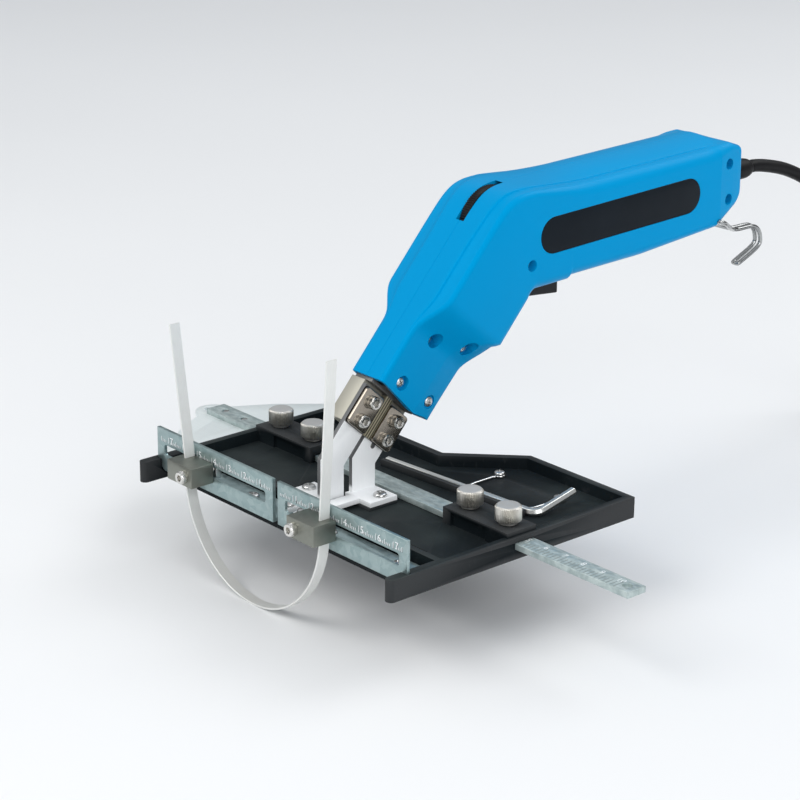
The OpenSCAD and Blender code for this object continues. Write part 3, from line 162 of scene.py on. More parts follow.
floor_finish, at = new_finish("pale_floor")
set_finish(floor_finish, {
    "Base Color": at.noise(3.0).between((0.80, 0.81, 0.82), (0.84, 0.85, 0.86)), "Roughness": 0.75,
})
floor_mesh = bpy.data.meshes.new("floor")
floor_corners = ((-4, -4), (4, -4), (4, 6), (-4, 6))
floor_mesh.from_pydata([(x, y, rest_z * mm) for x, y in floor_corners], [], [(0, 1, 2, 3)])
floor_mesh.materials.append(floor_finish)
floor = put("floor", floor_mesh)

world = bpy.data.worlds.new("studio")
world.use_nodes = True
sky = world.node_tree
backdrop = sky.nodes["Background"]
backdrop.inputs["Color"].default_value = (0.93, 0.96, 1.0, 1)
way = Shade(sky, sky.nodes.new("ShaderNodeTexCoord").outputs["Generated"])
mirrored = way.node("LightPath", None, None, "Is Glossy Ray")
dimmed_low = 0.50 - 0.46 * way.axis(2).band(0.05, 0.75)
sky.links.new((0.62 - mirrored * dimmed_low).socket, backdrop.inputs["Strength"])
bpy.context.scene.world = world


def lamp(name, place, aim, size, power, colour=(1, 1, 1)):
    light = bpy.data.lights.new(name, "AREA")
    light.size, light.energy, light.color = size, power, colour
    made = put(name, light)
    made.location = place
    made.rotation_euler = (Vector(aim) - Vector(place)).to_track_quat("-Z", "Y").to_euler()


lamp("key", (-0.4, -1.1, 1.3), (0, 0.1, 0.05), 1.1, 14.0, (1.0, 0.98, 0.95))
lamp("fill", (1.5, -0.3, 0.8), (0, 0.1, 0.05), 1.2, 11.0)
lamp("rim", (0.2, 1.3, 1.2), (0, 0.15, 0.05), 0.9, 7.0)

# Mains cord: round black rubber, 1.8 m from the strain relief to the plug.
# It drops to the floor and the spare length is wound flat in two layers, held by a strap.
cord_d, cord_len = 6.0, 1800
relief_y, relief_z, relief_len, cord_reach = 247.167, 105.902, 24.8, 124.0
relief_end = relief_y + relief_len
coil_z, coil_y = rest_z + 1 + cord_d / 2, relief_end + cord_reach + cord_d
coil_step, coil_turns, plug_tail = 7.5, 3, 44.0
cord_shares = [
    (0, 0), (0.037, 0), (0.111, 0.0125), (0.206, 0.037), (0.302, 0.0755), (0.391, 0.124),
    (0.476, 0.19), (0.544, 0.272), (0.597, 0.37), (0.631, 0.4776), (0.652, 0.5925), (0.666, 0.711),
    (0.694, 0.8224), (0.75, 0.915), (0.835, 0.977), (0.927, 1), (1, 1),
]
cord_route = [(0, relief_end + cord_reach * out, relief_z + (coil_z - relief_z) * fall)
              for out, fall in cord_shares]


def through(points, steps):
    """A smooth line through points, with so many steps between each two."""
    p = [Vector(v) for v in points]
    p = [2 * p[0] - p[1]] + p + [2 * p[-1] - p[-2]]
    line = []
    for a, b, c, d in zip(p, p[1:], p[2:], p[3:]):
        for k in range(steps):
            t = k / steps
            line.append(0.5 * (2 * b + (c - a) * t + (2 * a - 5 * b + 4 * c - d) * t * t
                               + (3 * b - a - 3 * c + d) * t ** 3))
    return line + [p[-2]]


def ramp(x, x0, x1):
    """0 before x0 and 1 after x1, with a smooth rise between."""
    k = min(1.0, max(0.0, (x - x0) / (x1 - x0)))
    return k * k * (3 - 2 * k)


lead_len = sum((Vector(b) - Vector(a)).length for a, b in zip(cord_route, cord_route[1:]))
coil_loops = 2 * coil_turns + 0.5
coil_mean = (cord_len - lead_len - cord_d - plug_tail) / (2 * math.pi * coil_loops)
coil_out = coil_mean + coil_step * coil_turns * (coil_turns + 0.5) / coil_loops
coil_in = coil_out - coil_step * coil_turns


def coil_point(turn):
    if turn < coil_turns:
        r = coil_out - coil_step * turn
    else:
        r = coil_in + coil_step * max(0.0, turn - coil_turns - 0.5)
    a = 2 * math.pi * turn
    return Vector((coil_out - r * math.cos(a), coil_y + r * math.sin(a),
                   coil_z + coil_step * ramp(turn, coil_turns, coil_turns + 0.5)))


coil_rings = 36
cord_line = through(cord_route, 4)
cord_line += [coil_point(i / coil_rings) for i in range(int(coil_loops * coil_rings) + 1)]
cord_line += [Vector((2 * coil_out, coil_y - plug_tail * k / 4, coil_z + coil_step)) for k in (1, 2, 3, 4)]


def round_line(name, points, radius, sides=4):
    """A round wire or cord along a line of points."""
    curve = bpy.data.curves.new(name, "CURVE")
    curve.dimensions = "3D"
    curve.bevel_depth = radius * mm
    curve.bevel_resolution = sides
    curve.use_fill_caps = True
    spline = curve.splines.new("POLY")
    spline.points.add(len(points) - 1)
    for point, place in zip(spline.points, points):
        point.co = (*(Vector(place) * mm), 1)
    return curve


def set_piece(name, data, finish, body, *nodes):
    data.materials.clear()
    data.materials.append(finish)
    made = put(name, data)
    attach(made, body)
    if nodes:
        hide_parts(*nodes)
    return made


rubber, at = new_finish("cord_rubber")
set_finish(rubber, {
    "Base Color": at.noise(60).between((0.006, 0.006, 0.007), (0.014, 0.014, 0.015)),
    "Roughness": at.noise(400) * 0.16 + 0.36, "Specular IOR Level": 0.12,
}, (at.noise(2500, 1), 0.12, 0.0002))
cord = set_piece("mains_cord", round_line("mains_cord", cord_line, cord_d / 2), rubber, "frame",
                 "cord_lead", "cord_coil")

# Plug and strap: a moulded two-pin plug with grip ribs and plated pins in sleeves,
# and a woven strap that keeps the coil together.
plug_x, plug_y, plug_z = 2 * coil_out, coil_y - plug_tail, coil_z + coil_step
plug_half_h = plug_z - rest_z


def smoothed(mesh, angle):
    mesh.shade_smooth()
    mesh.set_sharp_from_angle(angle=math.radians(angle))
    return mesh


def mesh_of(bm, name, angle=32):
    """Millimetre bmesh to a metre mesh, smooth but for edges sharper than the angle."""
    bmesh.ops.recalc_face_normals(bm, faces=bm.faces)
    mesh = bpy.data.meshes.new(name)
    bm.to_mesh(mesh)
    bm.free()
    mesh.transform(Matrix.Scale(mm, 4))
    return smoothed(mesh, angle)


def ring_loft(bm, rings, caps=True, loop=False):
    """Skins rows of points of one length, and closes the ends or joins the last row to the first."""
    rows = [[bm.verts.new(p) for p in ring] for ring in rings]
    n = len(rows[0])
    for low, high in zip(rows, rows[1:] + (rows[:1] if loop else [])):
        for k in range(n):
            j = (k + 1) % n
            bm.faces.new((low[k], low[j], high[j], high[k]))
    if caps:
        bm.faces.new(rows[0][::-1])
        bm.faces.new(rows[-1])


def loft_mesh(name, *solids, angle=32):
    """A mesh of one or more solids, each given as rows of points."""
    bm = bmesh.new()
    for rings in solids:
        ring_loft(bm, rings)
    return mesh_of(bm, name, angle)


def set_lofted(name, solids, finish, body, node, angle=32):
    return set_piece(name, loft_mesh(name, *solids, angle=angle), finish, body, node)


def oval(half_flat, radius, sides=40):
    angles = [2 * math.pi * (k + 0.5) / sides for k in range(sides)]
    return [(math.copysign(half_flat, math.cos(a)) + radius * math.cos(a), radius * math.sin(a))
            for a in angles]


# Each row: the distance from the cord's end, half of the flat and the radius.
plug_flat, groove = 4, 0.7
plug_rows = [(0, 0, 4.0), (3, 0, 4.2), (3.2, 0, 5.2), (5, 0, 5.2), (5.2, 0, 4.6), (6.6, 0, 4.8),
             (6.8, 0, 5.9), (9.8, 0, 6.0), (10.3, 1.5, 8.0), (11.5, 3.4, plug_half_h - 1.2),
             (13, plug_flat, plug_half_h)]
for k in range(6):
    y = 15 + 3 * k
    plug_rows += [(y + step, plug_flat, plug_half_h - cut)
                  for step, cut in ((0, 0), (0.3, groove), (1.1, groove), (1.4, 0))]
plug_rows += [(y, plug_flat, plug_half_h - cut) for y, cut in ((44.6, 0), (45.6, 0.5), (46, 1.4))]
plug_rings = [[(plug_x + x, plug_y - y, plug_z + z) for x, z in oval(flat, r)]
              for y, flat, r in plug_rows]
black_moulding, at = new_finish("black_moulding")
set_finish(black_moulding, {
    "Base Color": at.noise(35, 3).between((0.006, 0.006, 0.007), (0.014, 0.014, 0.015)),
    "Roughness": at.noise(220) * 0.18 + 0.38, "Specular IOR Level": 0.22,
}, (at.noise(2200, 2), 0.18, 0.0002))
plug = set_lofted("plug", [plug_rings], black_moulding, "frame", "plug_body")


def turned(rows, place=Matrix(), sides=40):
    """Turned solid from (radius, height) pairs, where a radius may depend on the angle."""
    rings = []
    for radius, height in rows:
        ring = []
        for k in range(sides):
            a = 2 * math.pi * k / sides
            r = radius(a) if callable(radius) else radius
            ring.append(place @ Vector((r * math.cos(a), r * math.sin(a), height)))
        rings.append(ring)
    return rings


def along(direction, origin):
    """Places a turned solid: its height runs along a direction."""
    return Matrix.Translation(origin) @ Vector(direction).to_track_quat("Z", "Y").to_matrix().to_4x4()


def metal(name, dark, pale, rough, streak=(1, 1, 1), scale=120, rough_swing=0.14):
    made, at = new_finish(name)
    grain = at.stretched(*streak).noise(scale, 3, 0.6)
    return set_finish(made, {
        "Base Color": grain.between(dark, pale), "Metallic": 1.0,
        "Roughness": at.noise(45, 2) * rough_swing + (rough - rough_swing / 2),
    }, (grain, 0.05, 0.0003))


bright_plate = metal("bright_plate", (0.62, 0.61, 0.58), (0.80, 0.79, 0.76), 0.24, scale=260)
pin_side, pin_rows = 9.5, [(2.4, 18), (2.4, 64.2), (2.2, 64.8), (1.5, 65)]
pins = set_lofted("contact_pins", [
    turned(pin_rows, along((0, -1, 0), (plug_x + side, plug_y, plug_z)), 20)
    for side in (-pin_side, pin_side)
], bright_plate, "frame", "plug_pins")


def rounded(points, radius, steps=5):
    """A flat outline with its corners rounded."""
    line = []
    for i, here in enumerate(Vector(p) for p in points):
        before, after = Vector(points[i - 1]) - here, Vector(points[(i + 1) % len(points)]) - here
        half_turn = before.angle(after) / 2
        reach = radius / math.tan(half_turn)
        before, after = before.normalized(), after.normalized()
        middle = here + (before + after).normalized() * (reach / math.cos(half_turn))
        start, end = here + before * reach - middle, here + after * reach - middle
        sweep = start.angle_signed(end)
        for k in range(steps + 1):
            line.append(middle + Matrix.Rotation(-sweep * k / steps, 2) @ start)
    return line


tie_half, tie_gap, tie_corner, tie_w, tie_t = 6, 3.1, 2.2, 11, 0.8
tie_low, tie_high = rest_z + 0.1, coil_z + coil_step + cord_d / 2 + 0.7
tie_in, tie_out = math.sqrt(coil_in ** 2 - tie_half ** 2) - tie_gap, coil_out + tie_gap
tie_line = rounded(
    [(tie_in, tie_low), (tie_out, tie_low), (tie_out, tie_high), (tie_in, tie_high)], tie_corner)
rows = []
for i, p in enumerate(tie_line):
    way = (tie_line[(i + 1) % len(tie_line)] - tie_line[i - 1]).normalized()
    outer = p + tie_t * Vector((-way.y, way.x))
    rows.append([(coil_out + side * tie_w / 2, coil_y + q.x, q.y)
                 for side, q in ((-1, p), (1, p), (1, outer), (-1, outer))])
bm = bmesh.new()
ring_loft(bm, rows, caps=False, loop=True)
strap_weave, at = new_finish("strap_weave")
threads = at.node("TexWave", {"wave_type": "BANDS", "bands_direction": "X"},
                  {"Vector": at, "Scale": 900.0, "Distortion": 0.6}, 1)
set_finish(strap_weave, {
    "Base Color": threads.between((0.010, 0.010, 0.011), (0.035, 0.035, 0.036)), "Roughness": 0.85,
}, (threads, 0.4, 0.0003))
tie = set_piece("coil_strap", mesh_of(bm, "coil_strap"), strap_weave, "frame", "coil_tie")

# Sled tray: one black moulding with a raised rim, a rib across the front, two front prongs and
# two bosses for the thumb screws. Rubbed edges and dust show grey on the black; the tops are
# painted lighter and the sides darker, as painted light and shade.


def settled(holder):
    """The mesh that an object's modifiers give. The object is taken away."""
    mesh = bpy.data.meshes.new_from_object(
        holder.evaluated_get(bpy.context.evaluated_depsgraph_get()))
    bpy.data.objects.remove(holder)
    return mesh


def eased(node, width, segments=2):
    """The solid's own shape with its edges broken, as on a moulded, stamped or machined piece."""
    weld, level, sharp = 2e-6, math.radians(1.5), math.radians(28)
    bm = bmesh.new()
    bm.from_mesh(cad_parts[node].data)
    bmesh.ops.remove_doubles(bm, verts=bm.verts, dist=weld)
    bmesh.ops.dissolve_limit(bm, angle_limit=level, verts=bm.verts, edges=bm.edges)
    plain = bpy.data.meshes.new(node)
    bm.to_mesh(plain)
    bm.free()
    holder = put(node + "_plain", plain)
    bevel = holder.modifiers.new("edges", "BEVEL")
    bevel.width, bevel.segments = width * mm, segments
    bevel.limit_method, bevel.angle_limit = "ANGLE", sharp
    bevel.miter_outer = "MITER_ARC"
    mesh = settled(holder)
    mesh.name = node
    return smoothed(mesh, 34)


def set_eased(name, node, width, finish, body, segments=2):
    set_piece(name, eased(node, width, segments), finish, body, node)


tray_black, at = new_finish("tray_black")
scuff = at.stretched(1, 5, 1).noise(160, 4, 0.7).band(0.56, 0.78)
dust = at.noise(22, 4).band(0.40, 0.72)
edge = at.node("NewGeometry", None, None, "Pointiness").band(0.50, 0.56)
# Painted light and shade: faces turned up get a paler black and the sides a darker one, mixed with the dust.
up = at.facing(2).band(0.3, 0.8)
dust_and_painted_light = up.over((dust * 0.8).between((0.005, 0.008, 0.010), (0.012, 0.018, 0.020)),
               (dust * 0.8).between((0.012, 0.016, 0.018), (0.036, 0.045, 0.045)))
set_finish(tray_black, {
    "Base Color": (edge * 0.4).over((scuff * 0.3).over(dust_and_painted_light, (0.06, 0.06, 0.062)), (0.09, 0.09, 0.092)),
    "Roughness": at.noise(90, 3) * 0.2 + 0.42, "Specular IOR Level": 0.08,
}, (at.noise(1500, 2) + 0.4 * scuff, 0.2, 0.0002))
set_eased("tray", "sled_tray", 0.45, tray_black, "frame")

# Brackets: galvanised steel sheet bent to an L, with a long slot for the clamp screws and
# a stamped rule along the top. Each is held on the tray's front shelf by two screws.
galvanised, at = new_finish("galvanised")
spangle = at.node("TexVoronoi", None, {"Vector": at, "Scale": 420.0}, "Color")
fleck = spangle.node("SeparateColor", None, {0: spangle})
wipe = at.stretched(1, 1, 6).noise(70, 4, 0.6)
set_finish(galvanised, {
    "Base Color": (fleck * 0.45 + wipe * 0.55).between((0.22, 0.32, 0.33), (0.46, 0.56, 0.56)),
    "Metallic": 0.8, "Roughness": fleck * 0.14 + wipe * 0.12 + 0.26,
}, (fleck + wipe, 0.06, 0.0003))
for side in ("left", "right"):
    set_eased(side + "_scale_bracket", "bracket_" + side, 0.3, galvanised, "frame")
bracket_gap, bracket_len, bracket_front, rule_z = 1.5, 78, -3.51, 17.0
mark_t = 0.04


def figure(bm, text, height, place):
    """Figures as flat strokes, drawn in X and Y of the place and raised along its Z."""
    curve = bpy.data.curves.new("figure", "FONT")
    curve.body, curve.size, curve.align_x = text, height * 1.38, "CENTER"
    curve.extrude = mark_t / 2
    curve.resolution_u = 3
    mesh = settled(put("figure", curve))
    mesh.transform(place)
    bm.from_mesh(mesh)


def bar_mark(bm, x, y, width, height, place):
    ring_loft(bm, [[place @ Vector((x + a * width / 2, y + b * height, c * mark_t / 2))
                    for a, b in ((-1, 0), (1, 0), (1, 1), (-1, 1))] for c in (-1, 1)])


stamp_pale, at = new_finish("stamped_marks")
set_finish(stamp_pale, {
    "Base Color": at.noise(300).between((0.80, 0.84, 0.85), (0.95, 0.97, 0.97)),
    "Metallic": 0.2, "Roughness": 0.4,
})
# Painted shadow: a dark copy of each mark, set off to one side and behind, stands for the shade in the
# stamped marks.
stamp_shadow, at = new_finish("stamped_mark_shadows")
set_finish(stamp_shadow, {
    "Base Color": at.noise(300).between((0.10, 0.12, 0.13), (0.20, 0.22, 0.23)),
    "Metallic": 0.3, "Roughness": 0.5,
})
for side, sign in (("left", -1), ("right", 1)):
    for name, finish, shift, lift in (
            ("edges", stamp_shadow, 0.26, 0.0), ("marks", stamp_pale, 0.0, 0.012)):
        bm = bmesh.new()
        face = Matrix(((1, 0, 0, shift), (0, 0, -1, bracket_front - lift), (0, 1, 0, -0.6 * shift),
                       (0, 0, 0, 1)))
        for k in range(2, 76):
            tall = 2.6 if k % 10 == 0 else 2.0 if k % 5 == 0 else 1.1
            if k % 10 not in (1, 9):
                bar_mark(bm, sign * (bracket_gap + k), rule_z, 0.3, tall, face)
        for k in range(1, 8):
            x = sign * (bracket_gap + 10 * k) + 1.9
            figure(bm, str(k), 3.1, face @ Matrix.Translation((x, rule_z, 0)))
        set_piece(f"rule_{name}_{side}", mesh_of(bm, f"rule_{name}_{side}"), finish, "frame")

# Small cross-head screws: plated pan heads that hold the brackets, the conductors' feet,
# the key clip and the body shells. These four go through the brackets into the tray.
screw_plate = metal("screw_plate", (0.55, 0.55, 0.54), (0.78, 0.78, 0.77), 0.28, scale=300)


def cut_away(mesh, cutter, operation="DIFFERENCE"):
    """The mesh less the cutter, or their union or overlap. Both are in metres."""
    holder, other = put("cut", mesh), put("cut", cutter)
    boolean = holder.modifiers.new("cut", "BOOLEAN")
    boolean.operation, boolean.solver, boolean.object = operation, "EXACT", other
    boolean.use_self = True
    made = settled(holder)
    bpy.data.objects.remove(other)
    return smoothed(made, 34)


def cross_head(d, shank):
    """One pan head screw, head upwards on z = 0."""
    r, h = 0.95 * d, 0.55 * d
    head = turned([(d / 2, -shank), (d / 2, 0), (r, 0), (r, 0.35 * h), (0.93 * r, 0.66 * h),
                   (0.74 * r, 0.90 * h), (0.4 * r, h)], sides=36)
    w, reach = 0.11 * d, 0.52 * d
    outline = [(-w, -reach), (w, -reach), (w, -w), (reach, -w), (reach, w), (w, w), (w, reach),
               (-w, reach), (-w, w), (-reach, w), (-reach, -w), (-w, -w)]
    cross = [[(k * x, k * y, z) for x, y in outline] for k, z in ((0.5, 0.1 * h), (1, 1.2 * h))]
    return cut_away(loft_mesh("cross_head", head), loft_mesh("cross", cross))


def set_copies(name, mesh, places, finish, body, node):
    """One piece made of a copy of the mesh at each place, given in millimetres."""
    bm = bmesh.new()
    for place in places:
        copy = mesh.copy()
        in_metres = place.copy()
        in_metres.translation = place.translation * mm
        copy.transform(in_metres)
        bm.from_mesh(copy)
    made = bpy.data.meshes.new(name)
    bm.to_mesh(made)
    bm.free()
    set_piece(name, made, finish, body, node)


def stand(x, y, z, turn):
    return Matrix.Translation((x, y, z)) @ Matrix.Rotation(math.radians(turn), 4, "Z")


set_copies("bracket_fixings", cross_head(3, 5), [
    stand(sign * (bracket_gap + bracket_len * share), 4.5, 5.5, 20 + 50 * share)
    for sign in (-1, 1) for share in (0.3, 0.82)
], screw_plate, "frame", "bracket_screws")

# Clamp blocks: machined blocks in dull nickel, each slit for the ribbon and drawn to its bracket by
# a socket screw with a square nut behind.
dull_nickel = metal("dull_nickel", (0.20, 0.21, 0.185), (0.34, 0.35, 0.31), 0.42,
                    scale=90, rough_swing=0.18)
for side in ("left", "right"):
    set_eased(side + "_block", "clamp_block_" + side, 0.5, dull_nickel, "blade_set", 3)
clamp_z, clamp_front = 13.25, -15.0
blade_x, blade_r = -9.3, 43.5
clamp_reach = blade_r + 4 - 16.5 + 4.5


def knurl(radius, depth, teeth):
    def at_angle(a):
        k = (a * teeth / (2 * math.pi)) % 1.0
        return radius - depth * (1 - abs(2 * k - 1))
    return at_angle


def hexagon(across):
    def at_angle(a):
        return across / 2 / math.cos((a % (math.pi / 3)) - math.pi / 6)
    return at_angle


def socket_head(d, shank):
    """One socket head screw, head upwards on z = 0, with a knurled rim and a hexagon socket."""
    r = 0.915 * d
    rough = knurl(r, 0.05 * d, 36)
    return loft_mesh("socket_head", turned([
        (d / 2, -shank), (d / 2, 0), (0.94 * r, 0), (rough, 0.08 * d), (rough, 0.8 * d),
        (0.95 * r, 0.86 * d), (0.86 * r, d), (0.56 * d, d), (hexagon(0.8 * d), 0.94 * d),
        (hexagon(0.78 * d), 0.42 * d)], sides=144))


set_copies("block_screws", socket_head(3, 14), [
    along((0, -1, 0), (x, clamp_front, clamp_z)) for x in (blade_x - clamp_reach, blade_x + clamp_reach)
], bright_plate, "blade_set", "clamp_screws")
set_eased("block_nuts", "clamp_nuts", 0.35, screw_plate, "blade_set")

# Ribbon blade: thin flat resistance strip bent to a half circle, with its two ends up through
# the blocks. Heat leaves a straw and grey tint on the loop.
blade_z, leg_z = 10.95, 17.55
ribbon_y, ribbon_w, ribbon_t, ribbon_edge = -6.4, 5.0, 0.8, 0.15
ribbon_line = []
for lean, leg, sign in ((9.0, 56.0, -1), (4.0, 66.0, 1)):
    a = math.radians(lean)
    foot = Vector((blade_x + sign * blade_r, 0, leg_z))
    tip = foot + leg * Vector((sign * math.sin(a), 0, math.cos(a)))
    bend = [foot + (tip - foot) * k for k in (1.0, 0.6, 0.3, 0.08)]
    bend += [foot - Vector((0, 0, 1.5)), Vector((foot.x, 0, blade_z))]
    ribbon_line = bend if sign < 0 else ribbon_line + bend[::-1]
    if sign < 0:
        for k in range(1, 72):
            b = math.pi * (1 + k / 72)
            ribbon_line.append(
                Vector((blade_x + blade_r * math.cos(b), 0, blade_z + blade_r * math.sin(b))))
w, t, e = ribbon_w / 2, ribbon_t / 2, ribbon_edge
ribbon_section = ((-w + e, -t), (w - e, -t), (w, -t + e), (w, t - e), (w - e, t), (-w + e, t), (-w, t - e),
                  (-w, -t + e))
rows = []
for i, p in enumerate(ribbon_line):
    way = (ribbon_line[min(i + 1, len(ribbon_line) - 1)] - ribbon_line[max(i - 1, 0)]).normalized()
    out = Vector((0, 1, 0)).cross(way).normalized()
    rows.append([p + Vector((0, ribbon_y + y, 0)) + out * o for y, o in ribbon_section])
ribbon_steel, at = new_finish("ribbon_steel")
heat = (1 - at.axis(2).band(-0.030, 0.004)) * at.noise(30, 3).band(0.25, 0.75)
drawn = at.stretched(30, 400, 30).noise(10, 3)
cold = drawn.between((0.74, 0.75, 0.73), (0.84, 0.85, 0.83))
set_finish(ribbon_steel, {
    "Base Color": (heat * 0.25).over(cold, (0.64, 0.61, 0.56)),
    "Metallic": 0.3, "Roughness": at.noise(60) * 0.14 + 0.42,
}, (drawn, 0.05, 0.0002))
set_lofted("ribbon", [rows], ribbon_steel, "blade_set", "ribbon_blade", 40)

# Guide bar and wing plate: a graduated flat bar slides through the bosses, with a bell-shaped fence
# plate riveted under its left end.
bar_steel, at = new_finish("bar_steel")
brush = at.stretched(3, 60, 3).noise(40, 4, 0.6)
set_finish(bar_steel, {
    "Base Color": brush.between((0.70, 0.76, 0.76), (0.82, 0.87, 0.87)), "Metallic": 0.3,
    "Roughness": brush * 0.16 + 0.36,
}, (brush, 0.05, 0.0002))
bar_zinc, at = new_finish("bar_zinc")
mottle = at.stretched(1, 2, 1).noise(260, 3, 0.6)
set_finish(bar_zinc, {
    "Base Color": mottle.band(0.3, 0.7).between((0.36, 0.44, 0.44), (0.56, 0.64, 0.63)), "Metallic": 0.6,
    "Roughness": mottle * 0.2 + 0.36,
}, (mottle, 0.08, 0.0002))
set_eased("rule_bar", "guide_bar", 0.3, bar_zinc, "guide")
set_eased("fence_wing", "wing_plate", 0.3, bar_steel, "guide")
bar_front, bar_mid, bar_top, bar_rule_end = 51.3, 56.2, 6.7, 133
rivet_rows = [(1.45, 2.3), (1.45, 6.5), (1.3, 6.62), (0.9, 6.66), (0.3, 6.66)]
set_lofted("flush_rivets", [
    turned(rivet_rows, Matrix.Translation((x, bar_mid, 0)), 28) for x in (-110.7, -97.2)
], screw_plate, "guide", "wing_rivets")
dark_etch, at = new_finish("etched_marks")
set_finish(dark_etch, {
    "Base Color": at.noise(300).between((0.20, 0.25, 0.25), (0.30, 0.35, 0.35)), "Roughness": 0.6})
bm = bmesh.new()
top = Matrix.Translation((0, 0, bar_top + 0.01))
for k in range(0, 56, 2):
    bar_mark(bm, bar_rule_end - k, bar_front + 0.6, 0.6, 5.4 if k % 10 == 0 else 4.2, top)
set_piece("bar_ticks", mesh_of(bm, "bar_ticks"), dark_etch, "guide")
bm = bmesh.new()
for k in range(6):
    figure(bm, str(10 - k), 2.9, top @ Matrix.Translation((bar_rule_end - 1.5 - 10 * k, bar_front + 5.3, 0)))
set_piece("bar_figures", mesh_of(bm, "bar_figures"), stamp_pale, "guide")

# Thumb screws: turned and straight-knurled heads in bright nickel that pinch the guide bar.
# Each goes down into a boss of the tray.
thumb_nickel, at = new_finish("thumb_nickel")
# Painted highlight: faces turned up are pale and less metallic, as lit from above; the knurled sides stay
# darker.
up = at.facing(2).band(0.6, 0.95)
lathe = at.stretched(1, 1, 8).noise(240, 4)
set_finish(thumb_nickel, {
    "Base Color": up.over(lathe.between((0.62, 0.60, 0.55), (0.88, 0.86, 0.81)),
                          lathe.between((0.42, 0.42, 0.41), (0.52, 0.52, 0.51))),
    "Metallic": 1 - up * 0.75, "Roughness": lathe * 0.14 + 0.30,
}, (lathe, 0.05, 0.0002))
grip = knurl(5.4, 0.62, 40)
thumb = loft_mesh("thumb_head", turned([
    (2.0, 6.9), (2.0, 11.3), (3.78, 11.3), (3.78, 12.3), (4.6, 12.3), (4.75, 12.5), (grip, 12.8),
    (grip, 18.2), (4.72, 18.75), (4.5, 18.92), (4.2, 18.98), (2.6, 18.94), (0.8, 18.93)],
    sides=160), angle=38)
for k, x in enumerate((-71.4, -49.4, 49.4, 71.4), 1):
    set_copies(f"thumb_knob_{k}", thumb, [stand(x, bar_mid, 0, 17 * k)], thumb_nickel,
               f"thumb_{k}", f"thumb_screw_{k}")

# Hex key and its clip: the bent key lies in the tray behind the bosses, kept by a spring wire
# whose two eyes are screwed to the floor.
key_af, key_x0, key_x1, key_y, key_z = 3.0, -21.4, 62.6, 79.8, 5.667
key_short, key_bend, key_swing, key_roll = 23.5, 4.0, math.radians(4.5), math.radians(9)
key_turn = Matrix.Rotation(key_swing, 3, "Z") @ Matrix.Rotation(key_roll, 3, "X")
key_corner = Vector((key_x1 - key_bend, key_y, key_z))
key_r, key_edge = key_af / math.sqrt(3) * 0.985, 0.09
key_line = [(key_x0, key_y), (0, key_y), (30, key_y), (key_x1 - key_bend, key_y)]
key_line += [(key_x1 - key_bend + key_bend * math.sin(a), key_y + key_bend - key_bend * math.cos(a))
             for a in (math.pi / 2 * k / 9 for k in range(1, 9))]
key_line += [(key_x1, key_y + key_bend), (key_x1, key_y + key_short)]
rows = []
for i, p in enumerate(key_line):
    a, b = key_line[max(i - 1, 0)], key_line[min(i + 1, len(key_line) - 1)]
    out = Vector((a[1] - b[1], b[0] - a[0], 0)).normalized()
    angles = [math.pi / 3 * k + math.pi / 6 + turn for k in range(6) for turn in (-key_edge, key_edge)]
    rows.append([key_corner + key_turn @ (
        Vector((p[0] - key_corner.x, p[1] - key_y, key_r * math.cos(a))) + out * (key_r * math.sin(a))
    ) for a in angles])
lip_share, lip_len = 0.8, 0.4
for i, beside in ((0, 1), (-1, -2)):
    middle = sum(rows[i], Vector()) / len(rows[i])
    lip = [middle + (v - middle) * lip_share for v in rows[i]]
    inward = (sum(rows[beside], Vector()) / len(rows[i]) - middle).normalized() * lip_len
    rows[i] = [v + inward for v in rows[i]]
    rows = [lip] + rows if i == 0 else rows + [lip]
key_steel = metal("key_steel", (0.72, 0.73, 0.70), (0.90, 0.91, 0.88), 0.34, streak=(0.2, 1, 1))
set_lofted("bent_key", [rows], key_steel, "frame", "hex_key", 25)
clip_x0, clip_x1, clip_y, clip_z, clip_gap = 20.3, 55.8, 100.0, 4.6, 2.44
eye_r, eye_rise, eye_steps = 2, 0.25, 20


def eye(x, way):
    turns = [(k / eye_steps, way * 2 * math.pi * k / eye_steps) for k in range(eye_steps)]
    return [(x + eye_r * math.sin(a), clip_y - eye_r * math.cos(a), clip_z + eye_rise * share)
            for share, a in turns]


def clip_at(x, back):
    """A point so far behind the key's long leg."""
    return x, key_y - (key_corner.x - x) * math.tan(key_swing) + clip_gap + back, clip_z


clip_bends = ((0, 9), (0.5, 3.4), (2.8, 0.6), (6, 0))
clip_line = eye(clip_x0, 1)[::-1] + through(
    [(clip_x0, clip_y - eye_r, clip_z)] + [clip_at(clip_x0 + x, back) for x, back in clip_bends]
    + [clip_at(clip_x1 - x, back) for x, back in clip_bends[::-1]] + [(clip_x1, clip_y - eye_r, clip_z)],
    4)[:-1] + eye(clip_x1, -1)
wire_bright = metal("wire_bright", (0.62, 0.62, 0.61), (0.82, 0.82, 0.81), 0.2, scale=300)
set_piece("clip_wire", round_line("clip_wire", clip_line, 0.6, 3), wire_bright, "frame", "key_clip")
set_copies("clip_fixings", cross_head(2.5, 4.6), [
    stand(x, clip_y, 5.2, 30) for x in (clip_x0, clip_x1)
], screw_plate, "frame", "key_clip_screws")

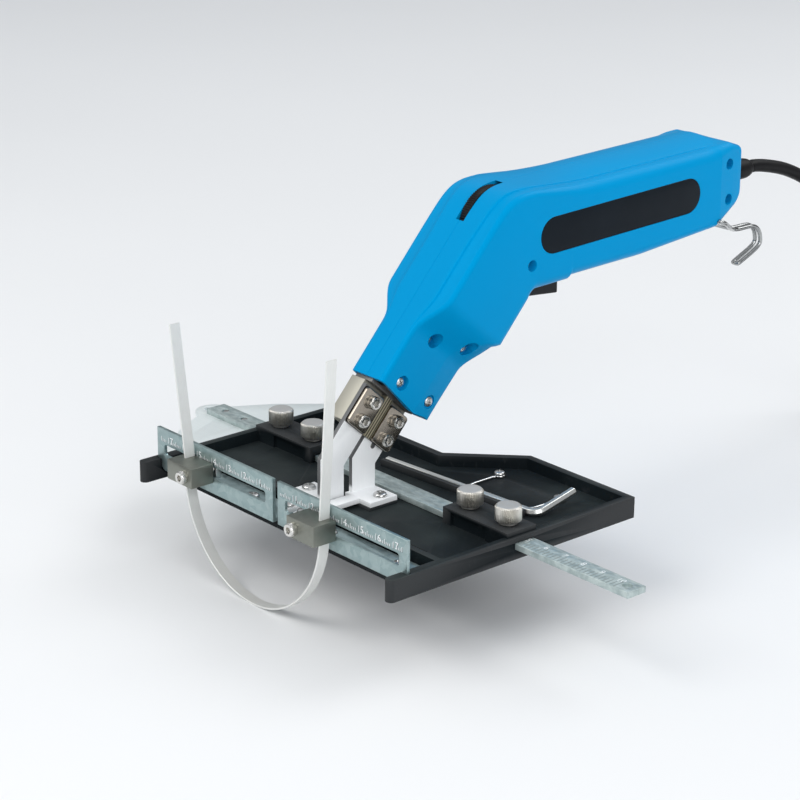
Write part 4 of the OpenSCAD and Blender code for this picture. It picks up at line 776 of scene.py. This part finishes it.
# Conductors: satin metal strip, cut and bent, that takes the current from the terminals down to
# the two brackets. Each ends in a foot on the tray and a tab screwed to a bracket.
nose_tilt, nose_y, nose_z = math.radians(48.5), 56.2, 45.2
up_nose = (0, math.cos(nose_tilt), math.sin(nose_tilt))
mouth = (nose_y * up_nose[1] + nose_z * up_nose[2]) * mm
satin_strip, at = new_finish("satin_strip")
drawn = at.stretched(300, 300, 12).noise(8, 4, 0.6)
sideways = at.facing(0)
upright = at.axis(2).band(0.009, 0.011)
# Painted shade: the strips are dark where they go in under the clamp plates and on their narrow faces, as
# shaded there.
under_plate_shade = at.dot(up_nose).band(mouth - 0.0207, mouth - 0.0203)
narrow = (1 - sideways.math("ABSOLUTE", sideways).band(0.3, 0.8)) * upright
strip_painted_shade = under_plate_shade.math("MAXIMUM", under_plate_shade, narrow)
satin = drawn.between((0.86, 0.88, 0.89), (0.95, 0.96, 0.97))
set_finish(satin_strip, {
    "Base Color": (strip_painted_shade * 0.9).over(satin, (0.07, 0.072, 0.075)),
    "Metallic": 0.1, "Roughness": drawn * 0.14 + 0.42,
}, (drawn, 0.05, 0.0002))


def crosswise(place, x=0):
    """Places a turned solid along X, from a place in Y and Z."""
    return along((1, 0, 0), (x, *place))


wire_hole = loft_mesh("wire_hole", turned([(1.3, -4), (1.3, 4)], crosswise((46.6, 25.2)), 24))
set_eased("front_strip", "front_conductor", 0.3, satin_strip, "frame")
set_piece("rear_strip", cut_away(eased("rear_conductor", 0.3), wire_hole), satin_strip, "frame",
          "rear_conductor")
strip_top = 7.5
strip_screws = ((-5, 7, 10), (5, 7, 50), (11, 42, 35), (-14, 25.1, 70))
set_copies("strip_fixings", cross_head(3, 7), [
    stand(x, y, strip_top, turn) for x, y, turn in strip_screws
], screw_plate, "frame", "conductor_screws")

# Terminal head: plated blocks under the nose, with clamp plates and socket screws that grip
# the conductors, and a layered insulating board that fills the mouth of the nose.


def nose_at(s, t):
    """Y and Z of a place so far up the nose and so far to its front."""
    return Vector((nose_y + s * up_nose[1] - t * up_nose[2], nose_z + s * up_nose[2] + t * up_nose[1]))


warm_plate, at = new_finish("warm_plate")
cloud = at.noise(70, 3)
set_finish(warm_plate, {
    "Base Color": cloud.between((0.38, 0.37, 0.31), (0.48, 0.46, 0.40)),
    "Metallic": 0.4, "Roughness": cloud * 0.1 + 0.42,
}, (at.noise(900, 2), 0.06, 0.0002))
head_plate, at = new_finish("head_plate")
polish = at.noise(90, 2)
shine = polish.between((0.26, 0.23, 0.19), (0.40, 0.36, 0.31))
# Painted shadow: the plate's wider lower rim, below 1.75 mm across, is dark as the shadow gap round the
# plate.
set_finish(head_plate, {
    "Base Color": (1 - at.axis(0).band(0.00165, 0.0019)).over(shine, (0.045, 0.038, 0.03)),
    "Metallic": 1.0, "Roughness": polish * 0.10 + 0.17,
}, (polish, 0.03, 0.0002))
head_base, head_top, plate_half, plate_corner, plate_face = -20.5, -3.5, 6.1, 1.5, 3.0
head_mid = {"front": 8.8, "rear": -8.0}
plate_rows = ((1.02, 0.0), (1.6, 0.0), (1.62, -0.15), (2.75, -0.15), (2.94, -0.25), (plate_face, -0.5))
for side in head_mid:
    set_eased(side + "_terminal_block", side + "_terminal", 0.5, warm_plate, "frame", 3)
for side, mid in head_mid.items():
    rows = []
    for x, grow in plate_rows:
        t0, t1 = mid - plate_half - grow, mid + plate_half + grow
        s0, s1 = head_base - grow, head_top + grow
        corners = [(t0, s0), (t1, s0), (t1, s1), (t0, s1)]
        rows.append([(x, *nose_at(p.y, p.x)) for p in rounded(corners, plate_corner, 6)])
    set_lofted(side + "_plate", [rows], head_plate, "frame", side + "_clamp_plate")
socket_steel = metal("socket_steel", (0.50, 0.49, 0.46), (0.74, 0.73, 0.70), 0.20, scale=260)
block_top, block_len = -1.5, 19
set_copies("head_screws", socket_head(3, 8), [
    crosswise(nose_at(block_top - block_len * share, t), plate_face)
    for t in head_mid.values() for share in (0.79, 0.34)
], socket_steel, "frame", "terminal_screws")
board_tan, at = new_finish("insulating_board")
depth = at.dot((0, -up_nose[2], up_nose[1]))
# The part above the mouth's edge is dark grey: partly the thin metal strips there, partly painted shade in
# the mouth.
mouth_metal_and_shade = at.dot(up_nose).band(mouth - 0.0022, mouth - 0.0018)
layers = (depth * 4900.0).math("SINE", depth * 4900.0).band(-0.3, 0.3)
fibre = at.stretched(1, 30, 30).noise(60, 3)
strips = layers.over(fibre.between((0.05, 0.045, 0.03), (0.09, 0.08, 0.055)), (0.46, 0.41, 0.29))
set_finish(board_tan, {
    "Base Color": mouth_metal_and_shade.over(strips, (0.16, 0.155, 0.145)),
    "Metallic": 0.4, "Roughness": fibre * 0.1 + 0.36,
}, (layers, 0.3, 0.0003))
set_eased("head_insulator", "nose_insulator", 0.2, board_tan, "frame")

# Body shells: two blue moulded halves that meet on the middle plane, with a raised spine along
# the top and sunk holes for the screws that join them.
pivot_s, pivot_t = 64.5, 29.4
pivot = nose_at(pivot_s, -pivot_t)
nose_way, grip_way = math.degrees(nose_tilt) + 90, 91.5
nose_front, grip_top, grip_low, grip_len = 16.5 + pivot_t, 51.0, 8.3, 127.0
nose_w, grip_w, grip_end_w, shell_t = 9.7, 19.3, 17.2, 2.4
grip_dir = Vector((math.cos(math.radians(1.5)), math.sin(math.radians(1.5))))
grip_up = Vector((-grip_dir.y, grip_dir.x))
rear_start, rear_swell, rear_knee, rear_waist = 19.7, 1.5, 38.5, 24.5
waist_s, waist_end = 24, 42
spine_nose, spine_waist, spine_grip, spine_step = 8.2, 11.5, 13.5, 0.8
shoulder_nose, shoulder_grip, crown_full = 2.2, 5.5, 3.4
trigger_dip, rise_len, tail_len, tail_w_len, fall_len, heel = 1.4, 64, 16, 15.5, 14, 3.6


def mix(a, b, k):
    return a + (b - a) * k


def rear_depth(s):
    if s < rear_knee:
        return pivot_t - (rear_start + rear_swell * (max(0, s) / rear_knee) ** 2)
    return pivot_t - mix(rear_start + rear_swell, rear_waist, ramp(s, rear_knee, waist_end))


def nose_width(s):
    return mix(nose_w, grip_w, ramp(s, waist_s, waist_end))


# A station is a place, the way its section points, and then the section's own values in the
# order that half_section takes them.


def nose_station(s):
    k = ramp(s, waist_s, waist_end)
    return (nose_at(s, -pivot_t), nose_way, nose_front, rear_depth(s), nose_width(s),
            mix(spine_nose, spine_waist, k), 0.0, shoulder_nose, 1 - ramp(s, 30, 41),
            mix(0.3, spine_step, k))


def bend_station(way):
    k = (nose_way - way) / (nose_way - grip_way)
    a = nose_front / math.cos(math.radians(nose_way - way))
    b = grip_top / math.cos(math.radians(way - grip_way))
    return (pivot, way, (a ** -16 + b ** -16) ** (-1 / 16),
            mix(rear_depth(pivot_s), grip_low - trigger_dip, k), grip_w,
            mix(spine_waist, spine_grip, k), 0.53 * k * k, mix(shoulder_nose, 2.7, k), 0.0, spine_step)


def near_end(u, length):
    """0 until so far from the grip's end, then rising to 1 there."""
    return max(0.0, u - grip_len + length) / length


def grip_width(u):
    return mix(grip_w, grip_end_w, near_end(u, tail_w_len))


def grip_station(u):
    corner = near_end(u, heel)
    low = grip_low + 3.5 * near_end(u, rise_len) + 7.2 * near_end(u, tail_len)
    low += heel * (1 - math.sqrt(max(0.0, 1 - corner * corner))) - trigger_dip * (1 - ramp(u, 19, 20.5))
    fall = 5.5 * near_end(u, fall_len)
    late = ramp(u, -12, 36)
    shoulder = mix(mix(shoulder_nose, shoulder_grip, late), 2.4, ramp(u, grip_len - 22, grip_len))
    return (pivot + u * grip_dir, grip_way, grip_top - fall, low, grip_width(u), spine_grip,
            max(0.0, crown_full * late - fall / 0.8), shoulder, 0.0,
            spine_step * (1 - ramp(u, grip_len - 22, grip_len - 12)))


def half_section(top, low, w, spine, crown, drop, facet, step, outside=True):
    """Half of a section: from the seam on top over the spine, its step, the shoulder and the side
    to the seam below."""
    seam_w = 0.12
    seam = seam_w if outside else 0.0
    points = [(0, top - seam), (seam_w, top - 0.01 * seam)]
    edge_top = top - 0.8 * crown
    points += [(spine * k / 6, top - 0.8 * crown * (k / 6) ** 2) for k in range(1, 6)]
    points += [(spine + x, edge_top - share * step) for x, share in (
        (-0.5, 0), (-0.2, 0.12), (0, 0.44), (0.1, 0.82), (0.3, 0.99))]
    knee = min(w, max(spine + 0.5, w - drop))
    points += [(knee + (w - knee) * math.sin(a), edge_top - step - drop * (1 - math.cos(a)))
               for a in (math.pi / 2 * k / 8 for k in range(9))]
    edge = min(5.0, w * 0.8)
    flat = [(0, 12.4), (0.08, 11.6), (0.9, 7.5), (1.7, 3.5), (2.2, 1.1), (2.5, 0.45), (3.0, 0.1), (3.6, 0)]
    for k, (x, z) in enumerate(flat):
        a = math.pi / 2 * k / 7
        points.append((w - mix(edge * (1 - math.cos(a)), x, facet),
                       low + mix(edge * (1 - math.sin(a)), z, facet)))
    return points + [((w - edge) * k / 3, low) for k in (2, 1, 0)]


def placed(station, p):
    a = math.radians(station[1])
    return Vector((p[0], station[0].x + p[1] * math.cos(a), station[0].y + p[1] * math.sin(a)))


along_grip = [0, 4, 8, 12, 16, 18.6, 19, 19.4, 19.8, 20.2, 20.5, 20.9]
along_grip += [24 + (grip_len - 40.5) * k / 24 for k in range(25)]
along_grip += [grip_len - v for v in (
    16, 15.8, 15.5, 15.2, 14.3, 14, 13.7, 13, 12, 11, 10, 9, 8.3, 8, 7.7, 7, 6, 5, 4.2, 3.6, 3.2, 2.8, 2.4)]
stations = [nose_station(pivot_s * k / 40) for k in range(40)]
stations += [bend_station(nose_way + (grip_way - nose_way) * k / 20) for k in range(20)]
stations += [grip_station(u) for u in along_grip]


def drawn_in(st, wall):
    return [placed(st, p) for p in half_section(
        st[2] - wall, st[3] + wall, st[4] - wall, st[5] - wall / 2, *st[6:], False)]


def half_shell():
    """The outer and the inner skin of a half. The lip hangs lower at the sides of the nose's mouth."""
    outer = [[placed(st, p) for p in half_section(*st[2:])] for st in stations]
    inner = [drawn_in(st, shell_t) for st in stations]
    n = len(outer[0])
    lip_hang = 2.0
    for row in (outer[0], inner[0]):
        for p in row:
            t = (p.z - nose_z) * up_nose[1] - (p.y - nose_y) * up_nose[2]
            share = ramp(abs(p.x), 4.5, 6.8) * ramp(t, -17, -8) * (1 - ramp(t, 3, 10))
            p -= Vector(up_nose) * lip_hang * share
    rear_edge = ((2.38, 0.0), (1.6, 0.0), (0.9, 0.02), (0.5, 0.1), (0.25, 0.25), (0.1, 0.42), (0, 0.7))
    for back, ease in rear_edge:
        st = grip_station(grip_len - back)
        top, low, w, spine = st[2:6]
        section = half_section(top - ease, low, w - ease, spine - ease, *st[6:])
        outer.append([placed(st, p) for p in section])
        inner.append([placed(st, (0, mix(top - shell_t, low + shell_t, k / (n - 1)))) for k in range(n)])
    bm = bmesh.new()
    ring_loft(bm, [a + b[::-1] for a, b in zip(outer, inner)], caps=False)
    bm.verts.ensure_lookup_table()
    for base in (0, (len(outer) - 1) * 2 * n):
        for k in range(n - 1):
            a, b, c, d = base + k, base + k + 1, base + 2 * n - 2 - k, base + 2 * n - 1 - k
            bm.faces.new([bm.verts[v] for v in (a, b, c, d)])
    return bm


wheel_at = nose_at(83, 1.4)
rear_u = grip_len - 9.3
# Each screw: its place, the half width there, the depth of its hole and the hole's radius.
screw_places = [
    (nose_at(4.6, 5.9), nose_w, 1.0, 3.1), (nose_at(6, -13.6), nose_w, 1.0, 3.1),
    (nose_at(26.6, 3.2), nose_width(26.6), 3.6, 3.1), (nose_at(32.5, -12.6), nose_width(32.5), 3.6, 3.1),
    (pivot + Vector((-4, 18.4)), grip_w, 3.6, 2.4),
    (pivot + rear_u * grip_dir + 39.2 * grip_up, grip_width(rear_u), 3.6, 2.4),
    (pivot + rear_u * grip_dir + 23.1 * grip_up, grip_width(rear_u), 3.6, 2.4),
]
head_h = 1.32
label_mid = pivot + 49.6 * grip_dir + 29.6 * grip_up
label_len, label_h, label_tilt = 96.5, 15.6, math.radians(2.0)
hook_y, hook_z = pivot + (grip_len - 15.95) * grip_dir + 14.4 * grip_up


def stadium(grow):
    """The label's outline, with round ends."""
    half, r = (label_len - label_h) / 2, label_h / 2 + grow
    flat = []
    for end in (1, -1):
        angles = [math.pi * (k / 16 - 0.5 * end) for k in range(17)]
        flat += [Vector((end * half + r * math.cos(a), r * math.sin(a))) for a in angles]
    return [label_mid + Matrix.Rotation(label_tilt, 2) @ p for p in flat]


def shell_cuts(right):
    """The wheel's slot and the holes for the trigger, the cord and the hook. On the right also
    the screw holes and the label's bed."""
    hole_w, hole_y0, hole_y1 = 6.8, 121.46, 145.26
    trigger_hole = rounded([(-8, hole_y0), (hole_w, hole_y0), (hole_w, hole_y1), (-8, hole_y1)], 1.0, 4)
    cuts = [
        turned([(17.2, -6), (17.2, 2.3)], crosswise(wheel_at), 96),
        [[(p.x, p.y, z) for p in trigger_hole] for z in (66, 90)],
        turned([(4.1, 238), (4.1, 252)], along((0, 1, 0), (0, 0, relief_z)), 48),
        turned([(1.1, 14.9), (1.1, 24)], crosswise((hook_y, hook_z)), 24),
    ]
    if right:
        for place, w, sink, r in screw_places:
            head = w - sink - head_h
            cuts.append(turned([(1.3, -4), (1.3, head), (r, head), (r, w - 0.2), (r + 0.25, w + 0.15),
                                (r + 0.25, w + 8)], crosswise(place)))
        cuts.append([[(x, p.x, p.y) for p in stadium(0.15)] for x in (18.6, 24)])
    return loft_mesh("shell_cuts", *cuts)


def shell_adds():
    """The screws' bosses, out to the middle of the wall."""
    bosses = []
    for place, w, sink, r in screw_places:
        boss_r = 4.2 if sink > 3 else 3.2
        bosses.append(turned([(boss_r, 0.05), (boss_r, w)], crosswise(place)))
    room = [drawn_in(st, shell_t / 2) for st in stations]
    return cut_away(loft_mesh("bosses", *bosses), loft_mesh("room", room), "INTERSECT")


blue_shell, at = new_finish("blue_shell")
cloud = at.noise(14, 3)
grain = at.noise(1700, 2, 0.6)
wear = at.stretched(1, 3, 1).noise(240, 4, 0.7).band(0.66, 0.82)
blue = cloud.between((0.0, 0.262, 0.565), (0.0, 0.298, 0.625))
set_finish(blue_shell, {
    "Base Color": (wear * 0.08).over(blue, (0.005, 0.37, 0.72)),
    "Roughness": cloud * 0.08 + grain * 0.08 + 0.26,
    "Specular IOR Level": 0.10, "Specular Tint": (0.02, 0.6, 1.0, 1),
}, (grain, 0.10, 0.0002))
whole = cut_away(mesh_of(half_shell(), "half_shell", 40), shell_adds(), "UNION")
for side in ("right", "left"):
    shell = cut_away(whole, shell_cuts(side == "right"))
    if side == "left":
        shell.transform(Matrix.Scale(-1, 4, (1, 0, 0)))
        shell.flip_normals()
    set_piece(side + "_half", smoothed(shell, 40), blue_shell, "frame", "body_shell_" + side)
set_copies("body_screws", cross_head(2.4, 6), [
    crosswise(place, w - sink - head_h) @ Matrix.Rotation(0.4 + 0.7 * k, 4, "Z")
    for k, (place, w, sink, r) in enumerate(screw_places)
], screw_plate, "frame", "shell_screws")

# Label plate: a bare dark plate with round ends, stamped from sheet and glued into a shallow
# bed in the right side.
label_rows = [[(x, p.x, p.y) for p in stadium(grow)]
              for x, grow in ((18.7, 0), (19.25, 0), (19.42, -0.15), (19.5, -0.5))]
label_dark, at = new_finish("label_dark")
set_finish(label_dark, {
    "Base Color": at.noise(40, 3).between((0.004, 0.007, 0.011), (0.008, 0.013, 0.019)),
    "Roughness": at.noise(120, 3) * 0.12 + 0.34, "Specular IOR Level": 0.1,
}, (at.noise(1200, 1), 0.04, 0.0001))
set_lofted("bare_label", [label_rows], label_dark, "frame", "label_plate")

# Regulator: a black moulded thumb wheel with fine teeth in the slot at the bend, on the
# potentiometer's axle.
teeth = knurl(15.6, 0.5, 90)
wheel_side = [(2.1, 2.0), (9.5, 2.0), (10.0, 1.6), (13.6, 1.6), (14.2, 2.0), (15.0, 2.0), (teeth, 1.7)]
wheel_rows = [(r, -x) for r, x in wheel_side] + wheel_side[::-1]
set_lofted("heat_wheel", [turned(wheel_rows, crosswise(wheel_at), 360)], black_moulding, "regulator",
           "regulator_wheel", 38)

# Trigger: a black moulded push key that slides up into the grip against its spring, through
# a hole that the two shells share.
set_eased("push_key", "trigger", 0.8, black_moulding, "trigger", 3)

# Inside the shells: transformer, copper bars, switch with its spring, board and potentiometer,
# seen only when the tool is opened. They keep the solids' own shapes and are only coloured here.
copper = (0.55, 0.26, 0.12), (0.72, 0.38, 0.20), 0.3, 1.0, (1, 8, 8), 50
inside = {
    "transformer_core": ((0.10, 0.10, 0.11), (0.22, 0.22, 0.23), 0.5, 1.0, (1, 1, 60), 30),
    "transformer_coil": ((0.32, 0.11, 0.04), (0.55, 0.22, 0.08), 0.35, 0.8, (1, 1, 40), 40),
    "front_busbar": copper,
    "rear_busbar": copper,
    "circuit_board": ((0.02, 0.14, 0.06), (0.04, 0.22, 0.10), 0.45, 0.0, (1, 1, 1), 90),
    "regulator_pot": ((0.05, 0.09, 0.14), (0.08, 0.13, 0.19), 0.4, 0.0, (1, 1, 1), 90),
    "trigger_switch": ((0.03, 0.03, 0.035), (0.06, 0.06, 0.065), 0.45, 0.0, (1, 1, 1), 120),
    "trigger_spring": ((0.55, 0.55, 0.54), (0.78, 0.78, 0.77), 0.25, 1.0, (1, 1, 1), 200),
}
for node, (dark, pale, rough, metallic, streak, scale) in inside.items():
    inner_finish, at = new_finish(node + "_finish")
    speck = at.stretched(*streak).noise(scale, 3)
    set_finish(inner_finish, {
        "Base Color": speck.between(dark, pale), "Metallic": metallic, "Roughness": speck * 0.1 + rough})
    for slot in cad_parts[node].material_slots:
        slot.material = inner_finish

# Hanging hook: one bent spring wire, plated bright, that swings on its two turned ends, which
# are sprung into holes in the shells.
neck, leg, reach, drop = 1.6, 20.7, 49.6, 29.4
wire_shares = [(0.98, 0.05, 0.034), (0.83, 0.161, 0.122), (0.49, 0.343, 0.259), (0.15, 0.524, 0.381),
               (0.012, 0.635, 0.442), (0, 0.726, 0.455), (0, 0.875, 0.46), (0, 0.958, 0.53), (0, 1, 0.66),
               (0, 0.978, 0.816), (0, 0.738, 1)]
half_wire = [(15.6, 0, 0), (18.0, 0, 0), (20.0, 0.1, 0)]
half_wire += [(mix(neck, leg, a), reach * b, -drop * c) for a, b, c in wire_shares]
half_wire.append(tuple(Vector(half_wire[-1]) - Vector((0.7, 1.3, 0.6))))
wire_line = through(half_wire + [(-x, y, z) for x, y, z in half_wire[::-1]], 5)
hook = round_line("hook_wire", [(p.x, p.y + hook_y, p.z + hook_z) for p in wire_line], 1.0, 5)
hook_steel = metal("hook_steel", (0.30, 0.31, 0.31), (0.55, 0.56, 0.56), 0.22, scale=300)
set_piece("hook_wire", hook, hook_steel, "hook", "hanging_hook")

# Strain relief: a black rubber sleeve with a collar, held in the rear wall, that keeps the cord
# from kinking.
sleeve = [(6.5, -4.4), (6.5, -2.7), (4.0, -2.6), (4.0, 0.4), (4.7, 0.6), (5.0, 0.9), (5.0, 2.2),
          (4.93, 8), (4.8, 15), (4.66, 20.2), (4.5, 21.6), (4.2, 22.8), (3.8, 23.8), (3.4, 24.5),
          (3.1, relief_len)]
set_lofted("cord_sleeve", [turned(sleeve, along((0, 1, 0), (0, relief_y, relief_z)), 48)], rubber,
           "frame", "strain_relief")
